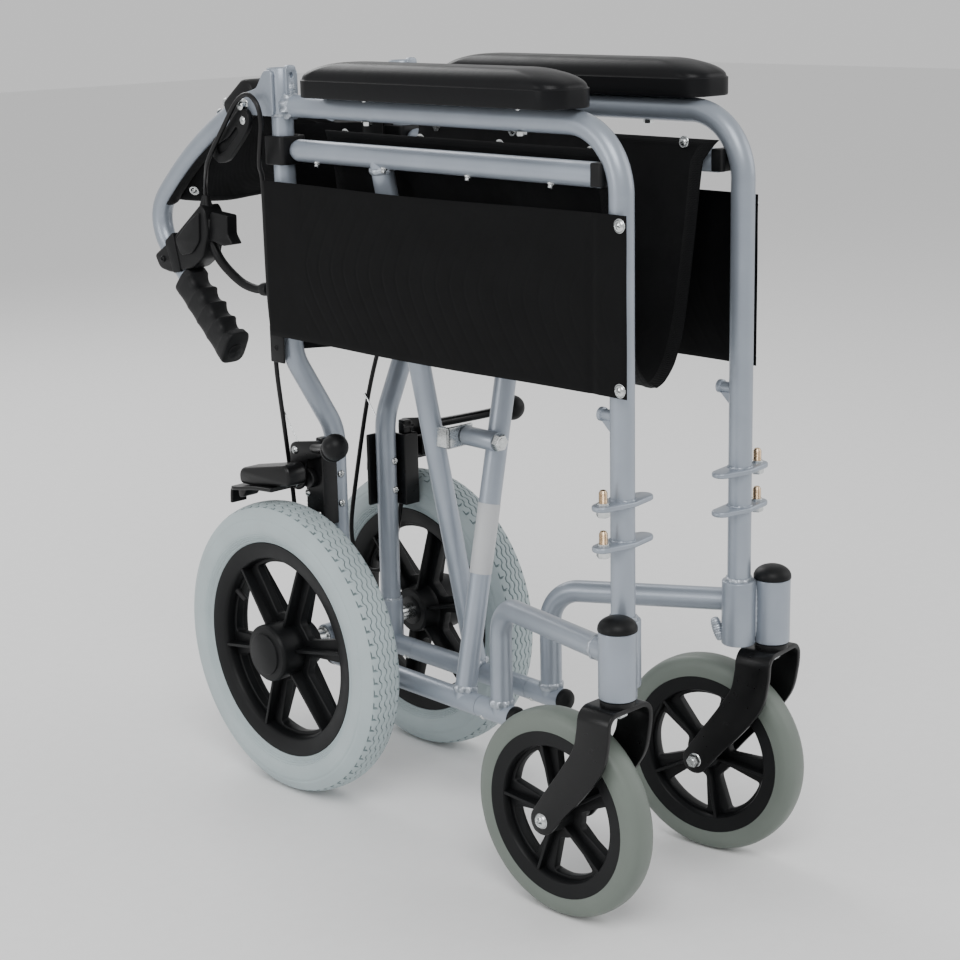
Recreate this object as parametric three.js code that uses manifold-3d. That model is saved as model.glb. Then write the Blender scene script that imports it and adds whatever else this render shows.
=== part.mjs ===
// A folding attendant-propelled wheelchair, folded flat, standing on its four wheels.
// Millimetres. +Z is up, the chair faces -Y and +X is the occupant's left.
// The origin is on the floor, under the middle of the chair's box.
import * as THREE from 'three';
import { mergeVertices } from 'three/addons/utils/BufferGeometryUtils.js';
import Module from 'manifold-3d';

const wasm = await Module();
wasm.setup();

// ---- driving dimensions -------------------------------------------------------------

const GAP = 0.3; // between pieces that touch
const TUBE = 11.1; // radius of every frame tube
const SIDES = 12; // flats round a tube

// Side frames. X values are distances out from the middle plane.
const POST_X = 80.4;
const FRONT_POST_Y = -267.5;
const REAR_POST_Y = 196;
const ARM_Z = 727;
const ARM_BEND = 60;
const SOCKET = { radius: 14, bottom: 719, top: 764 };
const LOWER_X = 35;
const LOWER_Z = 133;
const LOWER_POST_Y = 189;
const S_BEND = { top: 472, bottom: 388 };

// Castors. The wheel trails behind the upright barrel.
const BARREL = { x: 107.5, y: -285.9, radius: 17.4, bottom: 227.6, top: 290.3 };
const SLEEVE_RADIUS = 16.2;
const PLATE_Z = [398, 361]; // footrest hanger plates on the front posts
const STUD_X = POST_X + 25;
const CASTOR = { radius: 100, trail: 66, tyre: 20, half: 15, bore: 4.4 };
const STEER = { right: 2.3, left: 9.3 }; // degrees that each castor stands turned
const CASTOR_SPOKES = { right: -15, left: -47 }; // degrees that each wheel stands turned

// Rear wheels.
const WHEEL = { x: 95.7, y: 200, radius: 158, rim: 116.4, half: 25 };
const AXLE = 6;
const WHEEL_SPOKES = { right: -40, left: -45 };

// Cross brace and seat. The lower pivots, the middle pivot and the seat rails.
const PIVOT_Z = 400;
const RAIL = { x: 78, z: 683, front: -230, rear: 182 };
const PIVOT_TUBE = { front: -29.4, rear: 146.6, bore: 9, rod: 8 };
const BAR_Y = { a: -4, b: 50 };
const GUIDE_X = 79.1; // the sliding guides run a little inboard of the posts

// Folding back. YZ points of the folded tube, from the hinge to the end of the handle.
const HINGE = [236, 727.5];
const BACK_ROUTE = [[243.3, 739.2], [420, 611], [412, 571], [303, 471.4]];
const HANDLE = { from: [412, 571], to: [296, 465], start: 52 };

const PLASTIC = paint(0x161719, 0.55, 0);
const FABRIC = paint(0x101113, 0.95, 0);
const SILVER = paint(0x9aa3ab, 0.4, 0.6);
const ZINC = paint(0xc4c8cb, 0.3, 0.9);
const RUBBER = paint(0xafbec0, 0.8, 0);
const CASTOR_RUBBER = paint(0x808a80, 0.8, 0);

// ---- shapes -------------------------------------------------------------------------

function paint(color, roughness, metalness) {
  return new THREE.MeshStandardMaterial({ color, roughness, metalness });
}

function vector([x, y, z]) {
  return new THREE.Vector3(x, y, z);
}

// Straight lines joined by round bends, sampled only where the route turns.
class Route extends THREE.Curve {
  constructor(points, bend, stepAngle) {
    super();
    const corners = points.map(vector);
    const way = (i) => corners[i + 1].clone().sub(corners[i]).normalize();
    this.stations = [[corners[0], way(0)]];
    for (let i = 1; i < corners.length - 1; i++) {
      const before = way(i - 1);
      const after = way(i);
      const turn = before.angleTo(after);
      const reach = bend * Math.tan(turn / 2);
      const inward = after.clone().addScaledVector(before, -Math.cos(turn)).normalize();
      const centre = corners[i].clone().addScaledVector(before, -reach).addScaledVector(inward, bend);
      const steps = Math.ceil(THREE.MathUtils.radToDeg(turn) / stepAngle);
      for (let k = 0; k <= steps; k++) {
        const angle = (turn * k) / steps;
        const at = centre.clone().addScaledVector(inward, -bend * Math.cos(angle));
        at.addScaledVector(before, bend * Math.sin(angle));
        const along = before.clone().multiplyScalar(Math.cos(angle));
        this.stations.push([at, along.addScaledVector(inward, Math.sin(angle))]);
      }
    }
    this.stations.push([corners.at(-1), way(corners.length - 2)]);
  }

  station(u) {
    return this.stations[Math.round(u * (this.stations.length - 1))];
  }

  getPointAt(u) {
    return this.station(u)[0].clone();
  }

  getTangentAt(u) {
    return this.station(u)[1].clone().normalize();
  }
}

function polygon(radius, sides) {
  const points = [];
  for (let i = 0; i < sides; i++) {
    const angle = (2 * Math.PI * (i + 0.5)) / sides;
    points.push(new THREE.Vector2(radius * Math.cos(angle), radius * Math.sin(angle)));
  }
  return new THREE.Shape(points);
}

function tube(points, radius = TUBE, bend = 40, sides = SIDES, stepAngle = 22.5) {
  const extrudePath = new Route(points, bend, stepAngle);
  const steps = extrudePath.stations.length - 1;
  return new THREE.ExtrudeGeometry(polygon(radius, sides), { extrudePath, steps });
}

// A straight bar between two points.
function rod(from, to, radius = TUBE, sides = SIDES) {
  return tube([from, to], radius, 0, sides);
}

function block([x0, x1], [y0, y1], [z0, z1]) {
  const box = new THREE.BoxGeometry(x1 - x0, y1 - y0, z1 - z0);
  return box.translate((x0 + x1) / 2, (y0 + y1) / 2, (z0 + z1) / 2);
}

function outline(points) {
  return new THREE.Shape(points.map(([a, b]) => new THREE.Vector2(a, b)));
}

// A YZ outline with a thickness along X.
function plateX(points, [x0, x1]) {
  const plate = new THREE.ExtrudeGeometry(outline(points), { depth: x1 - x0, bevelEnabled: false });
  const turn = new THREE.Matrix4().set(0, 0, 1, x0, 1, 0, 0, 0, 0, 1, 0, 0, 0, 0, 0, 1);
  return plate.applyMatrix4(turn);
}

// A rounded rectangle in XY with a height along Z.
function slab([x0, x1], [y0, y1], [z0, z1], corner, bevel = null) {
  const shape = new THREE.Shape();
  shape.moveTo(x1, y0 + corner);
  shape.absarc(x1 - corner, y1 - corner, corner, 0, Math.PI / 2);
  shape.absarc(x0 + corner, y1 - corner, corner, Math.PI / 2, Math.PI);
  shape.absarc(x0 + corner, y0 + corner, corner, Math.PI, 1.5 * Math.PI);
  shape.absarc(x1 - corner, y0 + corner, corner, 1.5 * Math.PI, 2 * Math.PI);
  const options = { depth: z1 - z0, curveSegments: 3, bevelEnabled: false, ...bevel };
  return new THREE.ExtrudeGeometry(shape, options).translate(0, 0, z0);
}

// A profile of [radius, distance along the axis] turned round X, Y or Z.
function turned(profile, axis, [x, y, z], segments = 16) {
  const points = profile.map(([radius, along]) => new THREE.Vector2(Math.max(radius, 0), along));
  const body = new THREE.LatheGeometry(points, segments);
  if (axis === 'x') body.rotateZ(-Math.PI / 2);
  if (axis === 'z') body.rotateX(Math.PI / 2);
  return body.translate(x, y, z);
}

// A sheet of a stated thickness: rows of points, pushed along X or Y to give its back.
function sheet(rows, push) {
  const wide = rows[0].length;
  const front = rows.flat().map(vector);
  const back = front.map((p) => p.clone().add(vector(push)));
  const faces = [];
  const quad = (a, b, c, d) => faces.push(a, b, c, a, c, d);
  const size = front.length;
  for (let i = 0; i < rows.length - 1; i++) {
    for (let j = 0; j < wide - 1; j++) {
      const at = i * wide + j;
      quad(at, at + 1, at + wide + 1, at + wide);
      quad(size + at, size + at + wide, size + at + wide + 1, size + at + 1);
    }
  }
  const rim = [];
  for (let j = 0; j < wide; j++) rim.push(j);
  for (let i = 1; i < rows.length; i++) rim.push(i * wide + wide - 1);
  for (let j = wide - 2; j >= 0; j--) rim.push((rows.length - 1) * wide + j);
  for (let i = rows.length - 2; i > 0; i--) rim.push(i * wide);
  rim.forEach((a, k) => {
    const b = rim[(k + 1) % rim.length];
    quad(a, size + a, size + b, b);
  });
  const geometry = new THREE.BufferGeometry().setFromPoints([...front, ...back]);
  geometry.setIndex(faces);
  return geometry;
}

function flipped(geometry) {
  const index = geometry.index.array;
  for (let i = 0; i < index.length; i += 3) {
    [index[i], index[i + 1]] = [index[i + 1], index[i]];
  }
  return geometry;
}

function volume(geometry) {
  const { position } = geometry.attributes;
  const at = (i) => new THREE.Vector3().fromBufferAttribute(position, geometry.index.getX(i));
  let total = 0;
  for (let i = 0; i < geometry.index.count; i += 3) {
    total += at(i).dot(at(i + 1).cross(at(i + 2))) / 6;
  }
  return total;
}

// A closed mesh with shared corners, its faces pointing out.
function closed(geometry) {
  const bare = geometry.clone();
  bare.deleteAttribute('normal');
  bare.deleteAttribute('uv');
  const merged = mergeVertices(bare, 1e-4);
  return volume(merged) < 0 ? flipped(merged) : merged;
}

function solid(shape) {
  if (!shape.isBufferGeometry) return shape;
  const { attributes, index } = closed(shape);
  const vertProperties = new Float32Array(attributes.position.array);
  const triVerts = new Uint32Array(index.array);
  return new wasm.Manifold(new wasm.Mesh({ numProp: 3, vertProperties, triVerts }));
}

function join(...shapes) {
  return shapes.map(solid).reduce((sum, shape) => sum.add(shape));
}

function cut(shape, ...tools) {
  return tools.map(solid).reduce((left, tool) => left.subtract(tool), solid(shape));
}

function geometryOf(shape) {
  if (shape.isBufferGeometry) return closed(shape);
  const { vertProperties, triVerts } = shape.getMesh();
  const geometry = new THREE.BufferGeometry();
  geometry.setAttribute('position', new THREE.BufferAttribute(new Float32Array(vertProperties), 3));
  geometry.setIndex(new THREE.BufferAttribute(new Uint32Array(triVerts), 1));
  return geometry;
}

const chair = new THREE.Group();

function place(name, shape, material, parent = chair) {
  const mesh = new THREE.Mesh(geometryOf(shape), material.clone());
  mesh.name = name;
  parent.add(mesh);
}

// Pieces are drawn for the occupant's left. The right one is its mirror image.
function placeOn(side, name, shape, material, parent = chair) {
  const geometry = geometryOf(shape);
  if (side === 'right') flipped(geometry.scale(-1, 1, 1));
  place(`${name}_${side}`, geometry, material, parent);
}

// ---- side frames --------------------------------------------------------------------

const socketFat = rod([POST_X, REAR_POST_Y, 700], [POST_X, REAR_POST_Y, 780], SOCKET.radius + GAP, 16);
const rearStub = { front: 147, rear: 203 };

function barrelHousing(extra) {
  const low = BARREL.bottom - extra;
  const high = BARREL.top + extra;
  const barrel = rod([BARREL.x, BARREL.y, low], [BARREL.x, BARREL.y, high], BARREL.radius + extra, 16);
  const sleeve = rod([POST_X, FRONT_POST_Y, low], [POST_X, FRONT_POST_Y, high], SLEEVE_RADIUS + extra, 16);
  const between = [(POST_X + BARREL.x) / 2, (FRONT_POST_Y + BARREL.y) / 2];
  return join(barrel, sleeve, rod([...between, low + 3], [...between, high - 3], 5 + extra, 8));
}

// The front post and the arm tube are one bent tube.
function armTube(radius, x = POST_X) {
  return tube([[x, FRONT_POST_Y, 240], [x, FRONT_POST_Y, ARM_Z], [x, REAR_POST_Y - 4, ARM_Z]],
    radius, ARM_BEND);
}

function frontPost() {
  const post = armTube(TUBE);
  const plates = PLATE_Z.map((z) =>
    slab([POST_X - 33, POST_X + 37], [FRONT_POST_Y - 13, FRONT_POST_Y + 13], [z - 2.5, z + 2.5], 12.9));
  const rest = block([74, 87], [FRONT_POST_Y + 8, FRONT_POST_Y + 26.5], [470, 478.5]);
  const studs = PLATE_Z.map((z) => join(
    rod([STUD_X, FRONT_POST_Y, z - 10], [STUD_X, FRONT_POST_Y, z + 17], 4, 8),
    rod([STUD_X, FRONT_POST_Y, z - 9], [STUD_X, FRONT_POST_Y, z], 7, 6)));
  const whole = join(post, barrelHousing(0), ...plates, rest, ...studs);
  const stemBore = rod([BARREL.x, BARREL.y, 200], [BARREL.x, BARREL.y, 320], 7.4);
  return cut(whole, socketFat, stemBore);
}

function lowerTube() {
  const hook = tube([[103, -272.5, 265.5], [LOWER_X, -60, 246.6], [LOWER_X, -60, LOWER_Z]], TUBE, 36);
  const stub = rod([LOWER_X, -78.6, LOWER_Z], [LOWER_X, PIVOT_TUBE.front - GAP, LOWER_Z]);
  const spindle = rod([LOWER_X, -40, LOWER_Z], [LOWER_X, 160, LOWER_Z], PIVOT_TUBE.rod);
  const rear = rod([LOWER_X, rearStub.front, LOWER_Z], [LOWER_X, rearStub.rear, LOWER_Z]);
  return join(cut(hook, barrelHousing(GAP)), stub, spindle, rear);
}

// The rear post bends inboard above the wheel.
function rearTube(radius) {
  return tube([[POST_X, REAR_POST_Y, 725], [POST_X, REAR_POST_Y, S_BEND.top],
    [LOWER_X, LOWER_POST_Y, S_BEND.bottom], [LOWER_X, LOWER_POST_Y, LOWER_Z]], radius, 60);
}

function rearPost() {
  const post = rearTube(TUBE);
  const socket = rod([POST_X, REAR_POST_Y, SOCKET.bottom], [POST_X, REAR_POST_Y, SOCKET.top],
    SOCKET.radius, 16);
  const ear = block([74, 87], [177, 186], [ARM_Z + TUBE + GAP, 767]);
  const cheek = [[192, 748], [206, 748], [228, 741], [247, 736], [250, 726], [243, 716],
    [232, 700], [222, 700], [206, 712], [192, 721]];
  const outer = plateX(cheek, [POST_X + 13.4, POST_X + 16.8]);
  const inner = plateX(cheek, [POST_X - 16.8, POST_X - 13.4]);
  const axleBoss = rod([24, WHEEL.y, WHEEL.radius], [52, WHEEL.y, WHEEL.radius], 13);
  const whole = join(post, socket, ear, outer, inner, axleBoss);
  const railFat = rod([LOWER_X, 100, LOWER_Z], [LOWER_X, 240, LOWER_Z], TUBE + GAP);
  const axleBore = rod([0, WHEEL.y, WHEEL.radius], [60, WHEEL.y, WHEEL.radius], AXLE + 0.6);
  const hingePin = rod([POST_X - 18, ...HINGE], [POST_X + 18, ...HINGE], 3.8, 8);
  return join(cut(whole, railFat, axleBore), hingePin);
}

function armPad() {
  const bevel = { bevelEnabled: true, bevelThickness: 12, bevelSize: 9, bevelSegments: 2 };
  const low = slab([62, 122], [-226, 127], [739, 759], 18);
  const crown = slab([71, 113], [-217, 118], [752, 761], 12, bevel);
  return join(low, crown);
}

function skirt() {
  const clip = join(rod([POST_X, REAR_POST_Y, 457], [POST_X, REAR_POST_Y, 471], 15, 16),
    block([88, 102], [188, 204], [457, 471]), block([99.9, 102], [188, 204], [465, 500]));
  const lean = new THREE.Matrix4().set(1, 0.0131, 0, 3.75, 0, 1, 0, 0, 0, 0, 1, 0, 0, 0, 0, 1);
  const panel = plateX([[-286, 497], [-283, 494], [203, 494], [206, 497], [206, 649], [203, 652],
    [-283, 652], [-286, 649]], [93.3, 95.7]).applyMatrix4(lean);
  const screws = [644, 502].map((z) => rod([94, -270, z], [99, -270, z], 6, 6));
  return cut(join(clip, panel, ...screws), rearTube(TUBE + GAP));
}

function rearAxle() {
  const axle = rod([16, WHEEL.y, WHEEL.radius], [112, WHEEL.y, WHEEL.radius], AXLE);
  const nut = rod([14, WHEEL.y, WHEEL.radius], [23.6, WHEEL.y, WHEEL.radius], 10, 6);
  return join(axle, nut);
}

// ---- castors ------------------------------------------------------------------------
// Drawn about the barrel's axis, with the wheel trailing along +Y.

const castorHub = [0, CASTOR.trail, CASTOR.radius];

function forkLeg([x0, x1]) {
  return plateX([[-15, 221], [-12, 188], [4, 160], [54, 92], [64, 87], [74, 90], [79, 99],
    [77, 109], [44, 158], [27, 186], [22, 221]], [x0, x1]);
}

function castorFork() {
  const crown = slab([-31, 31], [-17, 22], [206, 222], 8);
  const collar = rod([0, 0, 215], [0, 0, BARREL.bottom - 0.4], 16, 16);
  const stem = rod([0, 0, 215], [0, 0, BARREL.top - 4], 6.5);
  const bore = rod([-50, CASTOR.trail, CASTOR.radius], [50, CASTOR.trail, CASTOR.radius], CASTOR.bore, 8);
  return cut(join(crown, collar, stem, forkLeg([26, 31]), forkLeg([-31, -26])), bore);
}

function castorAxle() {
  const along = (from, to, radius, sides) =>
    rod([from, CASTOR.trail, CASTOR.radius], [to, CASTOR.trail, CASTOR.radius], radius, sides);
  return join(along(-35, 35, 3.9, 8), along(-37.4, -31.4, 7, 6), along(31.4, 37.4, 7, 6));
}

function spokes(count, from, to, wide, deep, phase) {
  return Array.from({ length: count }, (_, i) => {
    const spoke = block([-deep, deep], [-wide, wide], [from, to]);
    return spoke.rotateX(THREE.MathUtils.degToRad(phase + (360 * i) / count));
  });
}

function castorWheel(turn) {
  const rim = turned([[66, -12], [79.6, -13.5], [79.6, 13.5], [66, 12], [66, -12]], 'x', [0, 0, 0], 28);
  const hub = rod([-23, 0, 0], [23, 0, 0], 15, 12);
  const wheel = join(rim, hub, ...spokes(5, 10, 68, 7, 8, turn));
  return cut(wheel, rod([-40, 0, 0], [40, 0, 0], CASTOR.bore, 8)).translate(castorHub);
}

function castorTyre() {
  const { radius, half } = CASTOR;
  return turned([[80, -half + 1], [92, -half], [98, -half + 4], [radius, -6], [radius, 6],
    [98, half - 4], [92, half], [80, half - 1], [80, -half + 1]], 'x', castorHub, 28);
}

// ---- rear wheels --------------------------------------------------------------------

const rearHub = [WHEEL.x, WHEEL.y, WHEEL.radius];

function rearWheel(turn) {
  const rim = turned([[98, -15], [108, -17], [WHEEL.rim, -17], [WHEEL.rim, 17], [108, 17],
    [98, 13], [98, -15]], 'x', [0, 0, 0], 30);
  const hub = turned([[0, -22.7], [24, -22.7], [30, -10], [31, 36], [29, 38], [0, 38]],
    'x', [0, 0, 0], 12);
  const wheel = join(rim, hub, ...spokes(6, 16, 102, 9, 11, turn));
  return cut(wheel, rod([-40, 0, 0], [18, 0, 0], AXLE + 0.6)).translate(rearHub);
}

function rearTyre() {
  const { radius, rim, half } = WHEEL;
  return turned([[rim + 1, -18], [139, -half], [151, -18], [radius, -6], [radius, 6], [151, 18],
    [139, half], [rim + 1, 18],
    [rim + 1, -18]], 'x', rearHub, 36);
}

// ---- parking brake ------------------------------------------------------------------

const BRAKE_PIN = [190, 340];

// A channel on the rear post, with a clamp bar behind it.
function wheelBrake() {
  const high = [290, 369];
  const whole = join(block([20, 50.5], [200.6, 205.4], high), block([46.5, 50.5], [172, 205.4], high),
    block([46.5, 67], [172, 176], high), block([63.4, 67], [172, 201], high));
  return cut(whole, rod([40, ...BRAKE_PIN], [90, ...BRAKE_PIN], 4.6, 8));
}

function brakeLever() {
  const eye = rod([67.4, ...BRAKE_PIN], [74, ...BRAKE_PIN], 10);
  const pin = rod([51, ...BRAKE_PIN], [70, ...BRAKE_PIN], 4, 8);
  const arm = plateX([[182, 336], [196, 332], [208, 366], [204, 376], [166, 382], [164, 371], [191, 366]], [68.4, 73.4]);
  const bar = rod([73, 172, 375], [119, 86, 398], 4.6, 8);
  const knob = new THREE.SphereGeometry(13.5, 10, 7).translate(122, 81, 400);
  return join(eye, pin, arm, bar, knob);
}

// The shoe's arm turns inside the channel and its pad lies over the tyre.
function brakeShoe() {
  const arm = block([51, 62.8], [184, 215], [328, 342]);
  const link = block([51, 80], [209, 215], [326, 342]);
  const pad = plateX([[202, 328], [240, 322], [262, 318], [286, 314], [297, 312], [297, 298], [302, 298],
    [303, 316], [284, 323], [282, 340], [272, 345], [212, 354], [204, 350]], [74.6, 114]);
  return cut(join(arm, link, pad), rod([40, ...BRAKE_PIN], [90, ...BRAKE_PIN], 4.6, 8));
}

// ---- folding back -------------------------------------------------------------------

const inPlane = (x) => ([y, z]) => [x, y, z];
const backTubeShape = tube(BACK_ROUTE.map(inPlane(POST_X)), TUBE, 30);
const backTubeFat = tube(BACK_ROUTE.map(inPlane(POST_X)), TUBE + GAP, 30);

// Points given along and across a line in the YZ plane.
function along([y0, z0], [y1, z1], points) {
  const length = Math.hypot(y1 - y0, z1 - z0);
  const [dy, dz] = [(y1 - y0) / length, (z1 - z0) / length];
  return points.map(([s, n]) => [y0 + s * dy + n * dz, z0 + s * dz - n * dy]);
}

function backTube() {
  const fitting = along(BACK_ROUTE[0], BACK_ROUTE[1], [[-5, -8], [1, -12], [36, -12], [36, 13],
    [12, 18], [6, 22], [-3, 22], [-9, 14]]);
  const whole = join(backTubeShape, plateX(fitting, [POST_X - 13, POST_X + 13]));
  return cut(whole, rod([50, ...HINGE], [110, ...HINGE], 4.4, 8));
}

// The handle's outline, with finger hollows on the side of the brake lever.
function grip() {
  const reach = 105;
  const hollows = 4;
  const pitch = (reach - 12) / hollows;
  const points = [[HANDLE.start, 13], [HANDLE.start + 4, 17]];
  for (let i = 0; i < hollows; i++) {
    const from = HANDLE.start + 6 + i * pitch;
    points.push([from, 18], [from + 0.3 * pitch, 13.5], [from + 0.7 * pitch, 13.5]);
  }
  points.push([HANDLE.start + reach, 20], [HANDLE.start + reach - 3, -14]);
  points.push([HANDLE.start + reach - 8, -17], [HANDLE.start + 5, -17], [HANDLE.start, -13]);
  const body = plateX(along(HANDLE.from, HANDLE.to, points), [POST_X - 16, POST_X + 16]);
  return cut(body, backTubeFat);
}

const LEVER_PIN = [328, 588];

function handBrakeBody() {
  const body = plateX([[329, 623], [339, 623], [372, 600], [424, 560], [414, 546], [394, 546],
    [352, 561], [332, 571], [318, 590]], [POST_X - 14, POST_X + 12]);
  const slot = plateX([[300, 606], [338, 606], [345, 560], [330, 548], [300, 548]],
    [POST_X - 6, POST_X + 6]);
  const pinBore = rod([60, ...LEVER_PIN], [100, ...LEVER_PIN], 3.1, 8);
  return cut(body, backTubeFat, slot, pinBore);
}

function handBrakeLever() {
  const arm = tube([[POST_X, 328, 590], [POST_X, 320, 560], [POST_X, 292, 544],
    [POST_X, 262, 535], [POST_X, 240, 537]], 4.6, 24, 8);
  const tip = new THREE.SphereGeometry(7, 8, 6).translate(POST_X, 237, 538);
  const pin = rod([POST_X - 13, ...LEVER_PIN], [POST_X + 11, ...LEVER_PIN], 2.6, 8);
  return join(arm, tip, pin);
}

const RELEASE_PIN = [232, 712];

function backRelease() {
  const paddle = plateX([[227, 722], [222, 712], [226, 703], [240, 688], [262, 669], [278, 667],
    [289, 675], [286, 689], [262, 702], [244, 718], [236, 723]], [97.7, 103]);
  return cut(paddle, rod([90, ...RELEASE_PIN], [110, ...RELEASE_PIN], 3.4, 8));
}

// The brake cable runs over the hinge, down behind the side panel and loops up to the brake.
const CABLE_OVER_HINGE = [[82, 333, 627.4], [87, 325, 640], [99, 306, 654], [107.5, 288, 671],
  [108, 258, 706], [108, 236, 730], [108, 217, 738.5], [107, 203, 730], [105.5, 199, 712],
  [104.5, 203, 692], [100, 212, 668], [93, 217, 645], [92, 217, 540]];
const CABLE_DOWN = {
  right: [[90, 214, 480], [88, 214, 446], [75, 223, 388], [57, 236, 304], [53, 243, 262],
    [52, 240, 230], [53, 224, 212], [56, 207, 224], [58, 200, 252]],
  left: [[85, 224, 500], [74, 234, 468], [60, 244, 406], [52, 260, 314], [47, 268, 248],
    [48, 260, 216], [51, 240, 202], [55, 218, 212], [58, 204, 246]],
};
const CABLE_END = [60, 196, 286];

function brakeCable(side) {
  return tube([...CABLE_OVER_HINGE, ...CABLE_DOWN[side], CABLE_END], 2.5, 8, 8, 40);
}

// ---- cross brace and seat -----------------------------------------------------------

const railFat = (side) =>
  rod([side * RAIL.x, -260, RAIL.z], [side * RAIL.x, RAIL.rear + GAP, RAIL.z], TUBE + 0.8);

// A straight bar from the lower pivot on one side to the seat rail on the other.
function crossBar(side, y) {
  const foot = -side * LOWER_X;
  const bar = rod([foot, y, LOWER_Z], [side * RAIL.x, y, RAIL.z]);
  const pivotTube = rod([foot, PIVOT_TUBE.front, LOWER_Z], [foot, PIVOT_TUBE.rear, LOWER_Z]);
  return cut(join(bar, pivotTube), railFat(side));
}

function pivotBore(side) {
  const foot = -side * LOWER_X;
  return rod([foot, -60, LOWER_Z], [foot, 180, LOWER_Z], PIVOT_TUBE.bore);
}

const middleBore = rod([0, -60, PIVOT_Z], [0, 80, PIVOT_Z], 5.9);

function crossBarA() {
  const boss = rod([0, -24, PIVOT_Z], [0, 22, PIVOT_Z], 9.5);
  const web = block([3, 16], [-8, 0], [PIVOT_Z - 14, PIVOT_Z + 8]);
  return cut(join(crossBar(1, BAR_Y.a), boss, web), pivotBore(1), middleBore);
}

function crossBarB() {
  const plate = join(rod([0, 22.6, PIVOT_Z], [0, 27.6, PIVOT_Z], 12),
    block([-24, 0], [22.6, 27.6], [PIVOT_Z - 10, PIVOT_Z + 10]),
    block([-24, -16], [22.6, 46], [PIVOT_Z - 10, PIVOT_Z + 10]));
  return cut(join(crossBar(-1, BAR_Y.b), plate), pivotBore(-1), middleBore);
}

function pivotBolt() {
  return join(rod([0, -28, PIVOT_Z], [0, 34, PIVOT_Z], 5.2), rod([0, -30.5, PIVOT_Z],
    [0, -24 - GAP, PIVOT_Z], 9, 6), rod([0, 27.6 + GAP, PIVOT_Z], [0, 35, PIVOT_Z], 9, 6));
}

function seatRail() {
  const { front, rear } = RAIL;
  const profile = [[0, front], [TUBE, front], [TUBE, rear - 10], [9.4, rear - 4.5], [5.4, rear - 1],
    [0, rear]];
  return turned(profile, 'y', [RAIL.x, 0, RAIL.z], SIDES);
}

// A ring on the rail's rear end that slides on the rear post.
function ringGuide() {
  const [low, high] = [RAIL.z - 14.5, RAIL.z + 14.5];
  const ring = rod([GUIDE_X, REAR_POST_Y, low], [GUIDE_X, REAR_POST_Y, high], 16.6, 16);
  const ear = block([63, 66.4], [160, 192], [RAIL.z - 9, RAIL.z + 9]);
  return cut(join(ring, ear), railFat(1), rod([GUIDE_X, REAR_POST_Y, low - 5],
    [GUIDE_X, REAR_POST_Y, high + 5], 13.6, 16));
}

// A saddle on the rail's front end that slides on the front post.
function saddleGuide() {
  const high = RAIL.z + 14.5;
  return cut(block([68, 90], [-253.6, RAIL.front - GAP], [RAIL.z - 11, high]),
    rod([GUIDE_X, FRONT_POST_Y, RAIL.z - 20], [GUIDE_X, FRONT_POST_Y, high + 5], 14.2, 16),
    armTube(13.6, GUIDE_X));
}

// ---- cloth --------------------------------------------------------------------------

const CLOTH = 2.4;

// Half of the seat sling: it hangs between the rails, wide in front and pinched by the bars.
function seatSling() {
  const wide = [[63.6, 702], [54, 664], [46, 600], [40, 530], [24, 492], [0.2, 484]];
  const pinched = [[63.6, 702], [52, 650], [41, 584], [29, 522], [16, 492], [0.2, 486]];
  const stations = [[-236, wide], [-150, wide], [-60, pinched], [60, pinched], [150, pinched]];
  return sheet(stations.map(([y, line]) => line.map(([x, z]) => [x, y, z])), [-0.1, 0, CLOTH]);
}

// Half of the upper back cloth, from the folded tube to the middle.
function backCloth() {
  const rows = [0, 0.5, 1].map((t) => [0, 1].map((u) =>
    [67 - 66.8 * u, 268 + 138 * t - 98 * u, 712 - 101 * t - 6 * u]));
  return sheet(rows, [0, -CLOTH, -CLOTH / 2]);
}

// Half of the lower back cloth, from the rear post to the middle.
function lowerBackCloth() {
  const rows = [0, 1].map((t) => [0, 0.5, 1].map((u) =>
    [64.6 - 64.4 * u, 212 - 46 * u, 704 - 230 * t]));
  return sheet(rows, [0, CLOTH, 0]);
}

// ---- assembly -----------------------------------------------------------------------

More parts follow.
